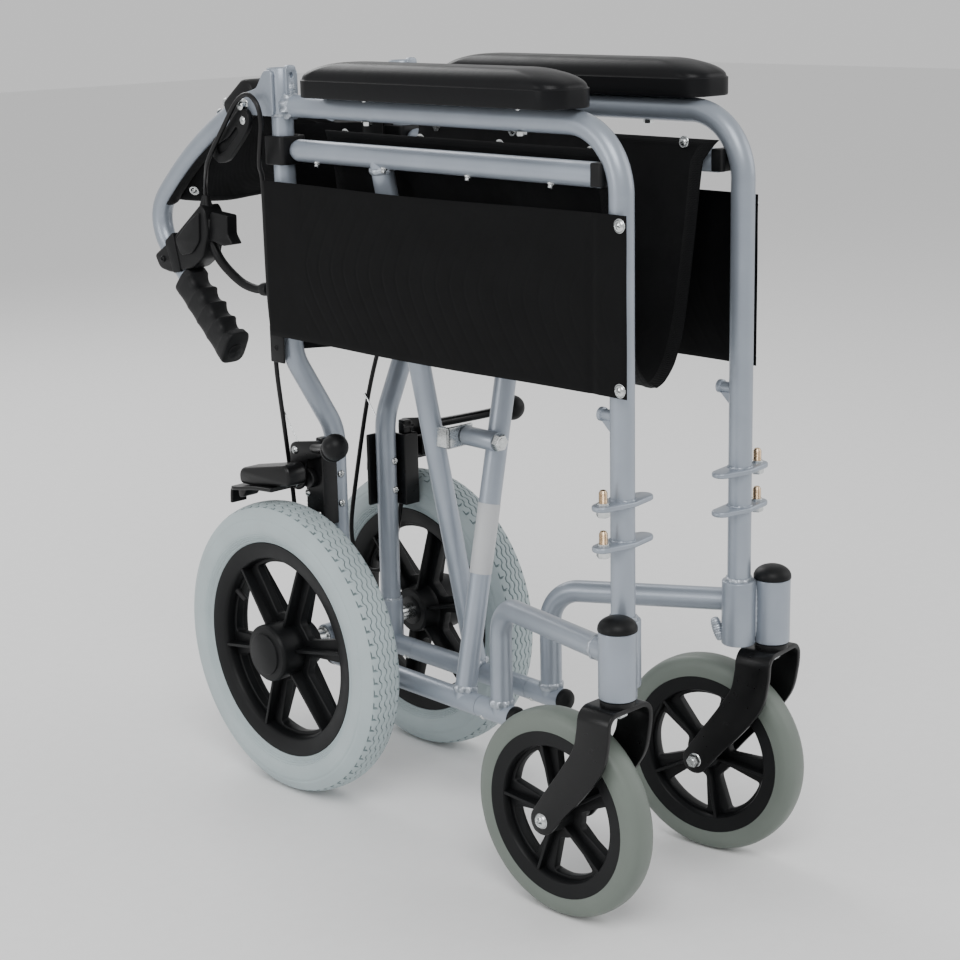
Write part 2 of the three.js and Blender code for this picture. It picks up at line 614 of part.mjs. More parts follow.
for (const side of ['right', 'left']) {
  placeOn(side, 'front_post', frontPost(), SILVER);
  placeOn(side, 'lower_tube', lowerTube(), SILVER);
  placeOn(side, 'rear_post', rearPost(), SILVER);
  placeOn(side, 'arm_pad', armPad(), PLASTIC);
  placeOn(side, 'side_panel', skirt(), FABRIC);
  placeOn(side, 'rear_axle', rearAxle(), ZINC);
  placeOn(side, 'barrel_cap', turned([[0, 0], [17.6, 0], [17, 4.5], [14, 9], [8, 12], [0, 12.8]],
    'z', [BARREL.x, BARREL.y, BARREL.top + GAP]), PLASTIC);

  const castor = new THREE.Group();
  castor.position.set((side === 'left' ? 1 : -1) * BARREL.x, BARREL.y, 0);
  castor.rotation.z = THREE.MathUtils.degToRad(STEER[side]);
  chair.add(castor);
  placeOn(side, 'castor_fork', castorFork(), PLASTIC, castor);
  placeOn(side, 'castor_axle', castorAxle(), ZINC, castor);
  placeOn(side, 'castor_wheel', castorWheel(CASTOR_SPOKES[side]), PLASTIC, castor);
  placeOn(side, 'castor_tyre', castorTyre(), CASTOR_RUBBER, castor);

  placeOn(side, 'rear_wheel', rearWheel(WHEEL_SPOKES[side]), PLASTIC);
  placeOn(side, 'rear_tyre', rearTyre(), RUBBER);
  placeOn(side, 'wheel_brake', wheelBrake(), PLASTIC);
  placeOn(side, 'brake_lever', brakeLever(), PLASTIC);
  placeOn(side, 'brake_shoe', brakeShoe(), PLASTIC);

  placeOn(side, 'back_tube', backTube(), SILVER);
  placeOn(side, 'hand_grip', grip(), PLASTIC);
  placeOn(side, 'hand_brake_body', handBrakeBody(), PLASTIC);
  placeOn(side, 'hand_brake_lever', handBrakeLever(), PLASTIC);
  placeOn(side, 'back_release', backRelease(), PLASTIC);
  placeOn(side, 'brake_cable', brakeCable(side), PLASTIC);

  placeOn(side, 'seat_rail', seatRail(), SILVER);
  placeOn(side, 'ring_guide', ringGuide(), PLASTIC);
  placeOn(side, 'saddle_guide', saddleGuide(), PLASTIC);
  placeOn(side, 'seat_sling', seatSling(), FABRIC);
  placeOn(side, 'back_cloth', backCloth(), FABRIC);
  placeOn(side, 'lower_back_cloth', lowerBackCloth(), FABRIC);
}
place('cross_bar_a', crossBarA(), SILVER);
place('cross_bar_b', crossBarB(), SILVER);
place('pivot_bolt', pivotBolt(), ZINC);

// The origin goes under the middle of the box.
chair.updateMatrixWorld(true);
const box = new THREE.Box3().setFromObject(chair, true);
chair.position.x = -(box.min.x + box.max.x) / 2;
chair.position.y = -(box.min.y + box.max.y) / 2;

export default chair;
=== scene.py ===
"""A folding transit wheelchair, folded flat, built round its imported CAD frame."""
from math import asin, ceil, copysign, cos, degrees, exp, hypot, pi, radians, sin, sqrt, tan

import bmesh
import bpy
from mathutils import Matrix, Vector, noise


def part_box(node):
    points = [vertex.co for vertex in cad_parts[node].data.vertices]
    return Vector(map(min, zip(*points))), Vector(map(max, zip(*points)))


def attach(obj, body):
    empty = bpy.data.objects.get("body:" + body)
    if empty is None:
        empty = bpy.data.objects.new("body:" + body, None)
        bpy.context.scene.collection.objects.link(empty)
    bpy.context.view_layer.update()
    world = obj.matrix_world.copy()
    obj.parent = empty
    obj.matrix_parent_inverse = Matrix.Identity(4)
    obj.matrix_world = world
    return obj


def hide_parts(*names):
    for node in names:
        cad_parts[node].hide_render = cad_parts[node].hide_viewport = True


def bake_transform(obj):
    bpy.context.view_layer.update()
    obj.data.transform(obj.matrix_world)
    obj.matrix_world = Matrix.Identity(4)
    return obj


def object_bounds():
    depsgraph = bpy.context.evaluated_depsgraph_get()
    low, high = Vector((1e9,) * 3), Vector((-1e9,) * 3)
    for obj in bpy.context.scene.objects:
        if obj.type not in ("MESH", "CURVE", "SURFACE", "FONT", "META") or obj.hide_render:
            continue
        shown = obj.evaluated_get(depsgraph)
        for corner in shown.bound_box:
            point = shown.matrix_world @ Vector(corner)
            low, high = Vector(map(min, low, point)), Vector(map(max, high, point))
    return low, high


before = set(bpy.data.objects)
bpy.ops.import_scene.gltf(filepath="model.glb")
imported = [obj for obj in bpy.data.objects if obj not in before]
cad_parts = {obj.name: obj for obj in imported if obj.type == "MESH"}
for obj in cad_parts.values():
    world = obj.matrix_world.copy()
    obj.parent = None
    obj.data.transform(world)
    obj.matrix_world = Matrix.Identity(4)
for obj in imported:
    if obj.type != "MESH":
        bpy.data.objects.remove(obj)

CAD_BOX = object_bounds()

# ---- the chair's own frame ----
# Sizes are in millimetres. X runs out from the chair's middle plane, and shapes are drawn
# for the occupant's left: the right ones are their mirror images.

MM = 0.001
AXLE = (200, 158)


def middle(node):
    low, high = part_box(node)
    return (low + high) / 2


ORIGIN = Vector((middle("pivot_bolt").x, middle("rear_axle_left").y - AXLE[0] * MM, 0))

TUBE = 11.1
POST_X = 80.4
FRONT_Y = -267.5
REAR_Y = 196
ARM_Z = 727
FRONT_POST = (POST_X, FRONT_Y)
REAR_POST = (POST_X, REAR_Y)
LOWER_X = 35
LOWER_Z = 133
REAR_FOOT = (LOWER_X, 189)
BARREL = (107.5, -285.9)
BARREL_Z = (227.6, 290.3)
BARREL_RADIUS = 17.4
SLEEVE_RADIUS = 16.2
PLATES_Z = (398, 361)
WHEEL_X = 95.7
CASTOR = (66, 100)
RAIL_X, RAIL_Z = 78, 683
PIVOT_Z = 400
HINGE = (236, 727.5)
BACK_LINE = ((243.3, 739.2), (420, 611))
BACK_BOW = 8
BACK_UP = Vector((0, 0.586, 0.81))
CLOTH_LIFT = 1.6
CLOTH_THICK = 1.9
HEM_THICK = 3.8
SLING_START, SLING_LONG = -236, 386
SEAM_PITCH = 19
FORK_LEG_X, FORK_BEND = 28.5, 11.5
FORK_TOP = (3.4, 208)
SKY_STRENGTH = 0.75
MIRROR = {"right": -1, "left": 1}
STEER = {"right": 2.3, "left": 9.3}
CASTOR_SPOKES = {"right": 15, "left": 47}
WHEEL_SPOKES = {"right": 40, "left": 45}

X, Y, Z = Vector((1, 0, 0)), Vector((0, 1, 0)), Vector((0, 0, 1))


def rough(*place):
    """Smooth noise of about -1 to 1."""
    return noise.noise(Vector(place))


def placed(side, x, y, z):
    """A point of one side, in metres."""
    return ORIGIN + Vector((x * MIRROR[side], y, z)) * MM


def link(made):
    bpy.context.scene.collection.objects.link(made)
    return made


# ---- camera ----


def make_camera():
    """The photograph's viewpoint, in the chair's frame."""
    place = Vector((-1349.8, -1447.9, 862.4))
    yaw, down, roll = (radians(a) for a in (42.935, 14.318, -1.246))
    ahead = Vector((sin(yaw) * cos(down), cos(yaw) * cos(down), -sin(down)))
    right = Vector((cos(yaw), -sin(yaw), 0))
    up = right.cross(ahead)
    across = cos(roll) * right + sin(roll) * up
    upward = -sin(roll) * right + cos(roll) * up
    data = bpy.data.cameras.new("camera")
    data.sensor_width = 36
    data.lens = 76.16
    camera = link(bpy.data.objects.new("camera", data))
    turn = Matrix((across, upward, -ahead)).transposed().to_4x4()
    camera.matrix_world = Matrix.Translation(ORIGIN + place * MM) @ turn
    bpy.context.scene.camera = camera


make_camera()

# ---- materials ----


def shade(name, color, roughness, metallic=0.0, coat=0.0, mottle=0.12, mottle_scale=60,
          grains=(), weave=None, wear=0.0, sheen=0.0, specular=0.5):
    """A principled material. Grains are (noise scale per metre, bump height in mm)."""
    made = bpy.data.materials.new(name)
    made.use_nodes = True
    nodes, links = made.node_tree.nodes, made.node_tree.links

    def feed(node, sockets):
        """Gives a node's inputs their values, or links them to other nodes' outputs."""
        for socket, value in sockets.items():
            if isinstance(value, bpy.types.NodeSocket):
                links.new(value, node.inputs[socket])
            else:
                node.inputs[socket].default_value = value
        return node.outputs

    where = nodes.new("ShaderNodeTexCoord").outputs["Object"]

    def noise_at(scale, detail=3.0):
        texture = nodes.new("ShaderNodeTexNoise")
        return feed(texture, {"Scale": scale, "Detail": detail, "Vector": where})["Fac"]

    def ramp(source, low, high, first, last):
        node = nodes.new("ShaderNodeValToRGB")
        for element, place, value in zip(node.color_ramp.elements, (low, high), (first, last)):
            element.position = place
            element.color = (*value, 1)
        return feed(node, {"Fac": source})["Color"]

    normal = None

    def bump(height, size):
        nonlocal normal
        below = {"Normal": normal} if normal else {}
        node = nodes.new("ShaderNodeBump")
        normal = feed(node, {"Distance": size * MM, "Height": height, **below})["Normal"]

    darker = [c * (1 - mottle) for c in color]
    lighter = [min(1, c * (1 + mottle)) for c in color]
    tone = ramp(noise_at(mottle_scale), 0.3, 0.7, darker, lighter)
    if wear:
        edge = ramp(nodes.new("ShaderNodeNewGeometry").outputs["Pointiness"], 0.52, 0.62,
                    (0, 0, 0), (wear, wear, wear))
        mix = nodes.new("ShaderNodeMix")
        mix.data_type = "RGBA"
        worn = (*[min(1, c * 1.6 + 0.02) for c in color], 1)
        tone = feed(mix, {"Factor": edge, "A": tone, "B": worn})["Result"]
    spread = feed(nodes.new("ShaderNodeMapRange"),
                  {"To Min": max(0.03, roughness - 0.07), "To Max": min(1.0, roughness + 0.07),
                   "Value": noise_at(mottle_scale * 2.7)})["Result"]
    for scale, size in grains:
        bump(noise_at(scale, 2.0), size)
    if weave:
        pitch, size = weave
        for direction in ("DIAGONAL", "Z"):
            wave = nodes.new("ShaderNodeTexWave")
            wave.bands_direction = direction
            scale = 2 * pi / (20 * pitch * MM)
            bump(feed(wave, {"Scale": scale, "Distortion": 0.6, "Vector": where})["Fac"], size)
    surface_normal = {"Normal": normal} if normal else {}
    feed(nodes["Principled BSDF"],
         {"Base Color": tone, "Roughness": spread, "Metallic": metallic, "Coat Weight": coat,
          "Coat Roughness": 0.2, "Sheen Weight": sheen, "Specular IOR Level": specular, **surface_normal})
    return made


PAINT = shade("silver_paint", (0.285, 0.32, 0.37), 0.38, 0.45, 0.3, 0.06, 25,
              [(900, 0.03)], wear=0.35)
WELD = shade("weld_paint", (0.37, 0.405, 0.45), 0.3, 0.6, 0.4, 0.15, 300, [(700, 0.35)])
PLASTIC = shade("black_plastic", (0.0045, 0.0047, 0.0052), 0.42, grains=[(1800, 0.04)], wear=0.6,
                specular=0.2)
SATIN = shade("satin_black", (0.005, 0.0054, 0.006), 0.44, grains=[(2400, 0.05)], mottle_scale=20,
              specular=0.2)
STEEL = shade("black_steel", (0.0035, 0.0036, 0.004), 0.3, 0.0, 0.06, grains=[(1500, 0.012)], wear=0.5,
              specular=0.24)
PAD = shade("pad_skin", (0.004, 0.0042, 0.005), 0.36, grains=[(1100, 0.06), (160, 0.08)], mottle_scale=14,
            specular=0.16)
PANEL = shade("panel_sheet", (0.0034, 0.0035, 0.0038), 0.5, weave=(1.1, 0.02), grains=[(60, 0.2)],
              mottle_scale=30, specular=0.08)
CLOTH = shade("woven_nylon", (0.0035, 0.0037, 0.0043), 0.78, weave=(0.9, 0.09), sheen=0.04,
              grains=[(45, 0.8)], mottle=0.25, mottle_scale=35, specular=0.12)
WEBBING = shade("hem_webbing", (0.0045, 0.0047, 0.0053), 0.7, weave=(1.6, 0.16), sheen=0.05, specular=0.14)
TYRE = shade("grey_tyre", (0.40, 0.468, 0.482), 0.55, grains=[(900, 0.05)], mottle=0.05,
             mottle_scale=18, specular=0.35)
# Painted shade: a darker grey for the tyre's grooves, where shadow falls.
GROOVE_SHADE = shade("tyre_groove_shade", (0.20, 0.25, 0.258), 0.8, grains=[(900, 0.05)], specular=0.1)
SOLID_TYRE = shade("castor_tyre", (0.142, 0.166, 0.146), 0.44, grains=[(700, 0.05)], mottle=0.05,
                   mottle_scale=20, specular=0.35)
ZINC = shade("zinc", (0.62, 0.64, 0.64), 0.26, 1.0, grains=[(1500, 0.04)], mottle_scale=300)
BRASS = shade("brass", (0.62, 0.46, 0.3), 0.28, 1.0, grains=[(1500, 0.04)], mottle_scale=300)
CABLE = shade("cable_sheath", (0.005, 0.005, 0.0055), 0.33, grains=[(900, 0.03)], specular=0.3)
GRIP = shade("grip_rubber", (0.006, 0.0063, 0.007), 0.5, grains=[(1500, 0.1), (300, 0.1)], specular=0.25)
LABEL = shade("blank_label", (0.5, 0.51, 0.52), 0.45, coat=0.1, mottle=0.02, grains=[(300, 0.02)])
# Painted shade: a near-black for the inside of the handle socket, where there is only shadow.
HOLE_SHADE = shade("painted_hole_shade", (0.003, 0.003, 0.0035), 0.8, grains=[(900, 0.05)], specular=0.1)

# ---- shapes: each is (points, faces) in millimetres ----


def turns(count, phase=0.0):
    """Equal steps round one turn, in radians."""
    return [2 * pi * (k + phase) / count for k in range(count)]


def neighbours(line, i):
    return line[max(i - 1, 0)], line[min(i + 1, len(line) - 1)]


def heading(a, b):
    """The direction from a to b in the YZ plane."""
    return Vector((0, b[0] - a[0], b[1] - a[1])).normalized()


def merged(*shapes):
    points, faces = [], []
    for more, loops in shapes:
        start = len(points)
        points += more
        faces += [[i + start for i in loop] for loop in loops]
    return points, faces


def moved(shape, matrix):
    return [matrix @ Vector(p) for p in shape[0]], shape[1]


def rings(loops, closed=False, caps=True):
    """A skin over loops of equal length."""
    count, wide = len(loops), len(loops[0])
    faces = []
    for i in range(count if closed else count - 1):
        a, b = i * wide, ((i + 1) % count) * wide
        for j in range(wide):
            k = (j + 1) % wide
            faces.append([a + j, a + k, b + k, b + j])
    if caps and not closed:
        faces.append(list(range(wide))[::-1])
        faces.append(list(range((count - 1) * wide, count * wide)))
    return [p for loop in loops for p in loop], faces


def stations(route, bend, step):
    """Places and directions along straight lines joined by round bends."""
    corners = [Vector(p) for p in route]
    ways = [(b - a).normalized() for a, b in zip(corners, corners[1:])]
    found = [(corners[0], ways[0])]
    for corner, before, after in zip(corners[1:], ways, ways[1:]):
        turn = before.angle(after)
        if turn < 1e-3:
            continue
        reach = bend * tan(turn / 2)
        inward = (after - before * cos(turn)).normalized()
        centre = corner - before * reach + inward * bend
        steps = max(2, ceil(degrees(turn) / step))
        for k in range(steps + 1):
            a = turn * k / steps
            found.append((centre - inward * bend * cos(a) + before * bend * sin(a),
                          before * cos(a) + inward * sin(a)))
    found.append((corners[-1], ways[-1]))
    return found


def spline(points, per=8):
    """A smooth line through points, any number of coordinates each."""
    row = [points[0], *points, points[-1]]
    found = []
    for i in range(1, len(row) - 2):
        for k in range(per):
            t = k / per
            found.append(tuple(
                0.5 * (2 * b + (c - a) * t + (2 * a - 5 * b + 4 * c - d) * t * t
                       + (3 * b - a - 3 * c + d) * t ** 3)
                for a, b, c, d in zip(row[i - 1], row[i], row[i + 1], row[i + 2])))
    return found + [tuple(points[-1])]


def skin(line, radius, sides=28):
    """A round tube over (place, direction) stations; radius may be a function of 0 to 1."""
    normal = line[0][1].orthogonal().normalized()
    loops = []
    for i, (place, way) in enumerate(line):
        normal = (normal - way * normal.dot(way)).normalized()
        other = way.cross(normal)
        r = radius(i / (len(line) - 1)) if callable(radius) else radius
        loops.append([place + r * (cos(a) * normal + sin(a) * other)
                      for a in turns(sides)])
    return rings(loops)


def tube(route, radius=TUBE, bend=40, sides=32, step=5):
    return skin(stations(route, bend, step), radius, sides)


def through(points, radius, per=8, sides=16):
    """A tube over a smooth line."""
    line = [Vector(p) for p in spline(points, per)]
    ways = [(b - a).normalized() for a, b in (neighbours(line, i) for i in range(len(line)))]
    return skin(list(zip(line, ways)), radius, sides)


def facing(base, direction):
    """The matrix that takes +Z to a direction, and the origin to base."""
    return Matrix.Translation(Vector(base)) @ Vector(direction).to_track_quat("Z", "Y").to_matrix().to_4x4()


def turned(profile, base, direction, sides=32, phase=0.0):
    """A profile of (radius, height) turned about a direction. It closes on itself off the axis."""
    on_axis = profile[0][0] <= 0 and profile[-1][0] <= 0
    loops = [[Vector((max(r, 0.01) * cos(a), max(r, 0.01) * sin(a), h))
              for a in turns(sides, phase)] for r, h in profile]
    return moved(rings(loops, closed=not on_axis), facing(base, direction))


def disc(radius, height, edge=0.6):
    return [(0, 0), (radius, 0), (radius, height - edge), (radius - edge, height), (0, height)]


def pin(size, base, direction, sides=32):
    """A short round bar or a washer. Its size is (radius, height) or (radius, height, edge)."""
    return turned(disc(*size), base, direction, sides)


def hexagon(base, direction, across=10, height=4, hole=0.0):
    """A nut or bolt head, with its corners turned down."""
    r = across / sqrt(3)
    return merged(turned([(0, 0), (r, 0), (r, height * 0.75), (r * 0.86, height), (0, height)],
                         base, direction, 6),
                  pin((across * 0.36, height + hole), base, direction, 16))


def dome(base, direction, radius=4, height=2.6):
    """A round screw head with a cross recess."""
    sides, steps = 32, 7
    loops = []
    for i in range(steps + 1):
        share = sin(pi / 2 * (1 - i / steps))
        rise = height * sqrt(max(0, 1 - share * share * 0.94))
        loop = []
        for a in turns(sides):
            dip = height * 0.55 if share < 0.55 and cos(4 * a) > 0.4 else 0
            r = max(0.02, radius * share)
            loop.append(Vector((r * cos(a), r * sin(a), rise - dip)))
        loops.append(loop)
    base_loop = [Vector((p.x, p.y, 0)) for p in loops[0]]
    return moved(rings([base_loop, *loops]), facing(base, direction))


def weld(base, direction, radius=TUBE, bead=2.4, seed=0.0):
    """A rough bead of weld round a tube."""
    loops = []
    for a in turns(48):
        ripple = 0.75 + 0.3 * sin(9 * a + seed) + 0.5 * rough(3 * a, seed, 1)
        loops.append([Vector(((radius + bead * ripple * cos(b)) * cos(a),
                              (radius + bead * ripple * cos(b)) * sin(a),
                              1.5 * bead * sin(b) + rough(5 * a, seed, b)))
                      for b in turns(10)])
    return moved(rings(loops, closed=True), facing(base, direction))


def rough_bead(a, b, radius, seed=0.0):
    """A rippled line of weld from a to b."""
    steps = 26
    way = (b - a).normalized()
    line = [(a.lerp(b, k / steps), way) for k in range(steps + 1)]
    return skin(line, lambda t: radius * (0.35 + 0.65 * sin(pi * t) ** 0.3)
                * (0.93 + 0.07 * sin(60 * t + seed)), 14)


def rounded(outline, radius, steps=4):
    """A 2D outline with its corners rounded."""
    found = []
    count = len(outline)
    for i in range(count):
        before, at, after = (Vector(outline[j % count]) for j in (i - 1, i, i + 1))
        a, b = before - at, after - at
        reach = min(radius, a.length * 0.48, b.length * 0.48)
        start, end = at + a.normalized() * reach, at + b.normalized() * reach
        for k in range(steps + 1):
            t = k / steps
            found.append(tuple(start * (1 - t) ** 2 + at * 2 * t * (1 - t) + end * t * t))
    return found


def circle(radius, centre=(0, 0), sides=32):
    return [(centre[0] + radius * cos(a), centre[1] + radius * sin(a)) for a in turns(sides)]


def arc(centre, radius, start, sweep, steps):
    """Points on a part of a circle, whose angles are in degrees."""
    return [(centre[0] + radius * cos(a), centre[1] + radius * sin(a))
            for a in (radians(start + sweep * k / steps) for k in range(steps + 1))]


def cut_sheet(outlines, thickness, edge=0.8):
    """A flat sheet with holes and rounded edges, middle at Z 0."""
    data = bpy.data.curves.new("cut", "CURVE")
    data.dimensions = "2D"
    data.fill_mode = "BOTH"
    data.extrude = thickness / 2 - edge
    data.bevel_depth = edge
    data.bevel_resolution = 2
    data.offset = -edge
    for outline in outlines:
        line = data.splines.new("POLY")
        line.points.add(len(outline) - 1)
        for point, (a, b) in zip(line.points, outline):
            point.co = (a, b, 0, 1)
        line.use_cyclic_u = True
    maker = link(bpy.data.objects.new("cut", data))
    mesh = maker.to_mesh()
    work = bmesh.new()
    work.from_mesh(mesh)
    bmesh.ops.remove_doubles(work, verts=work.verts, dist=0.001)
    work.verts.index_update()
    shape = [v.co.copy() for v in work.verts], [[v.index for v in f.verts] for f in work.faces]
    work.free()
    maker.to_mesh_clear()
    bpy.data.objects.remove(maker)
    bpy.data.curves.remove(data)
    return shape


ACROSS = Matrix(((0, 0, 1, 0), (1, 0, 0, 0), (0, 1, 0, 0), (0, 0, 0, 1)))


def plate(outlines, x0, x1, edge=0.8):
    """A sheet cut in the YZ plane, from x0 to x1."""
    lines = outlines if isinstance(outlines[0][0], (tuple, list)) else [outlines]
    flat = moved(cut_sheet(lines, x1 - x0, edge), ACROSS)
    return moved(flat, Matrix.Translation(((x0 + x1) / 2, 0, 0)))


def slab(outlines, z0, z1, edge=0.8):
    """A sheet cut in the XY plane, from z0 to z1."""
    lines = outlines if isinstance(outlines[0][0], (tuple, list)) else [outlines]
    return moved(cut_sheet(lines, z1 - z0, edge), Matrix.Translation((0, 0, (z0 + z1) / 2)))


def block(x, y, z, edge=1.2):
    outline = rounded([(x[0], y[0]), (x[1], y[0]), (x[1], y[1]), (x[0], y[1])], edge * 1.5)
    return slab(outline, z[0], z[1], min(edge, (z[1] - z[0]) * 0.4))


def ribbon(rows, thickness, edge=1.0):
    """A bent strap. Rows are (middle, direction across, half width, direction out)."""
    loops = []
    for place, across, half, out in rows:
        h, t = max(half, edge + 0.1), thickness / 2
        loop = []
        for sx, sy, start in ((1, 1, 0), (-1, 1, 90), (-1, -1, 180), (1, -1, 270)):
            for k in range(4):
                a = radians(start + 30 * k)
                loop.append(place + across * (sx * (h - edge) + edge * cos(a))
                            + out * (sy * (t - edge) + edge * sin(a)))
        loops.append(loop)
    return rings(loops)


def cloth(point, wide, long, thickness, edge=2.0):
    """A closed sheet over point(u, v), whose edges thin out. Width and length are cell counts."""
    at = [[Vector(point(i / wide, j / long)) for i in range(wide + 1)] for j in range(long + 1)]
    front, back = [], []
    for j in range(long + 1):
        for i in range(wide + 1):
            du = at[j][min(i + 1, wide)] - at[j][max(i - 1, 0)]
            dv = at[min(j + 1, long)][i] - at[max(j - 1, 0)][i]
            out = du.cross(dv).normalized()
            far = min(i, wide - i, j, long - j)
            half = thickness / 2 * (1 - max(0, 1 - far / edge) ** 2 * 0.75)
            front.append(at[j][i] + out * half)
            back.append(at[j][i] - out * half)
    row, size = wide + 1, (wide + 1) * (long + 1)
    faces = []
    for j in range(long):
        for i in range(wide):
            a = j * row + i
            faces.append([a, a + 1, a + row + 1, a + row])
            faces.append([size + a, size + a + row, size + a + row + 1, size + a + 1])
    rim = [*range(row), *range(2 * row - 1, size, row), *range(size - 2, size - row - 1, -1),
           *range(size - 2 * row, 0, -row)]
    for a, b in zip(rim, rim[1:] + rim[:1]):
        faces.append([a, size + a, size + b, b])
    return front + back, faces


# ---- pieces ----

SHARP = radians(38)


def build(name, shape, material, side="left", matrix=None):
    """A mesh object in the row frame. The right side's is mirrored before its matrix."""
    points, faces = shape
    place = Matrix.Translation(ORIGIN) @ Matrix.Scale(MM, 4) @ (matrix or Matrix.Identity(4))
    mesh = bpy.data.meshes.new(name)
    mesh.from_pydata([place @ Vector((p[0] * MIRROR[side], p[1], p[2])) for p in points], [], faces)
    work = bmesh.new()
    work.from_mesh(mesh)
    bmesh.ops.recalc_face_normals(work, faces=work.faces)
    for face in work.faces:
        face.smooth = True
    for edge in work.edges:
        edge.smooth = len(edge.link_faces) == 2 and edge.calc_face_angle() < SHARP
    work.to_mesh(mesh)
    work.free()
    mesh.materials.append(material)
    return link(bpy.data.objects.new(name, mesh))


def piece(name, shape, material, body, replaces=None, side="left", matrix=None):
    """Builds a shape, rides it on its body and hides the CAD node that it stands for."""
    made = build(name, shape, material, side, matrix)
    if replaces:
        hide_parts(replaces)
    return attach(made, body)


def on_side(side, body):
    """piece() for one side: names, bodies and nodes get the side's name."""
    def make(name, shape, material, node=None, matrix=None):
        replaced = f"{node}_{side}" if node else None
        return piece(f"{name}_{side}", shape, material, f"{body}_{side}", replaced, side, matrix)
    return make


def capsule(centre, reach, middle_radius, end_radius, steps=10):
    """A plate's outline: a disc that tapers to a smaller round end on each side, along X."""
    lean = asin((middle_radius - end_radius) / reach)
    found = []
    for start, x in ((-90 + degrees(lean), reach), (90 + degrees(lean), -reach)):
        sweep = 180 - 2 * degrees(lean)
        found += arc((centre[0] + x, centre[1]), end_radius, start, sweep, steps)
        found += arc(centre, middle_radius, start + sweep, 4, 2)
    return found


def front_frame(side):
    make = on_side(side, "frame")
    make("front_tube", tube([(*FRONT_POST, 235), (*FRONT_POST, ARM_Z), (POST_X, REAR_Y - 8, ARM_Z)],
                            bend=60, sides=40, step=3), PAINT, "front_post")
    blob = [weld((POST_X, REAR_Y - 15, ARM_Z), Y, TUBE - 1, 4.2, 1),
            weld((POST_X, REAR_Y - 18, ARM_Z), Y, TUBE - 1, 3, 8)]
    rise = rough_bead(Vector((POST_X - 1, 184, ARM_Z + 6)), Vector((POST_X, 181, ARM_Z + 24)), 5.5, 3)
    make("arm_weld", merged(*blob, rise), WELD)
    barrel = merged(slab(circle(BARREL_RADIUS, BARREL, 40), *BARREL_Z, 1.2),
                    slab(circle(SLEEVE_RADIUS, FRONT_POST, 40), *BARREL_Z, 1.2))
    make("castor_barrel", barrel, PAINT)
    between = Vector(((POST_X + BARREL[0]) / 2, (FRONT_Y + BARREL[1]) / 2, 0))
    seam = rough_bead(between + Z * (BARREL_Z[0] + 4), between + Z * (BARREL_Z[1] - 4), 6.5, 5)
    make("barrel_weld", merged(weld((*FRONT_POST, BARREL_Z[1]), Z, 11.6, 2.4, 2), seam), WELD)
    make("hook_bead", rough_bead(Vector((72.5, -253, 229)), Vector((69, -247, 251)), 5.5, 6), WELD)
    for name, z in zip(("upper", "lower"), PLATES_Z):
        outline = capsule(FRONT_POST, 26, 14.5, 9.5)
        make(f"hanger_plate_{name}", slab(outline, z - 2.5, z + 2.5, 1.6), PAINT)
        stud = (POST_X + 25, FRONT_Y, z + 2.4)
        thread = [(0, 0)] + [(4 - 0.35 * (k % 2), 1 + 0.5 * k) for k in range(22)] + [(2.6, 13.4), (0, 14.2)]
        make(f"hanger_stud_{name}", turned(thread, stud, Z, 20), BRASS)
        make(f"stud_collar_{name}", pin((5.6, 2.2), stud, Z, 20), ZINC)
        make(f"stud_nut_{name}", hexagon((stud[0], stud[1], z - 2.4), -Z, 11, 6), ZINC)
        make(f"plate_bead_{name}", weld((*FRONT_POST, z + 2.6), Z, 11.4, 1.0, z), PAINT)
    nub = merged(turned([(0, 0), (5, 0), (5, 13), (6.4, 14), (6.4, 17.5), (5, 18.5), (0, 18.5)],
                        (POST_X, FRONT_Y + 8, 474.3), Y, 20),
                 plate(rounded([(FRONT_Y + 9, 457), (FRONT_Y + 13, 460), (FRONT_Y + 24, 470),
                                (FRONT_Y + 9, 471)], 3), POST_X - 3, POST_X + 3, 1))
    make("rail_rest", nub, PAINT)
    cap = [(18, 2), (17.6, 4), (15.8, 7.2), (12, 10.2), (7, 12.1), (0, 12.8)]
    make("barrel_cap_dome", turned([(0, 0), (18, 0), *spline(cap, 3)], (*BARREL, BARREL_Z[1] + 0.2), Z, 40),
         SATIN, "barrel_cap")


def lower_frame(side):
    make = on_side(side, "frame")
    hook = tube([(103, -272.5, 265.5), (LOWER_X, -60, 246.6), (LOWER_X, -60, LOWER_Z)], bend=36, sides=36)
    stub = tube([(LOWER_X, -79, LOWER_Z), (LOWER_X, -29.9, LOWER_Z)])
    rear = tube([(LOWER_X, 147, LOWER_Z), (LOWER_X, 203, LOWER_Z)])
    make("lower_hook", merged(hook, stub, rear), PAINT, "lower_tube")
    make("hook_weld", merged(weld((LOWER_X, -60, LOWER_Z + 12), Z, 10.6, 2.8, 3),
                             weld((103 - 6.6, -272.5 + 20, 265.5 - 1.7), (-68, 212.5, -19),
                                  TUBE, 1.6, 4)), WELD)
    plug = [(0, -2), (TUBE + 0.5, -2), (TUBE + 0.5, 1.4), (10.2, 4.2), (6, 6), (0, 6.6)]
    make("tube_plug", merged(turned(plug, (LOWER_X, -79, LOWER_Z), -Y, 28),
                             turned(plug, (LOWER_X, 203, LOWER_Z), Y, 28)), SATIN)
    for name, y in (("front", -38.5), ("rear", 156)):
        make(f"pivot_set_screw_{name}", dome((LOWER_X + 7.2, y, LOWER_Z - 7.2), (1, 0, -1), 3.4, 2.2), ZINC)
        make(f"pivot_set_nut_{name}", dome((LOWER_X - 7.2, y, LOWER_Z - 7.2), (-1, 0, -1), 3.4, 2.2), ZINC)


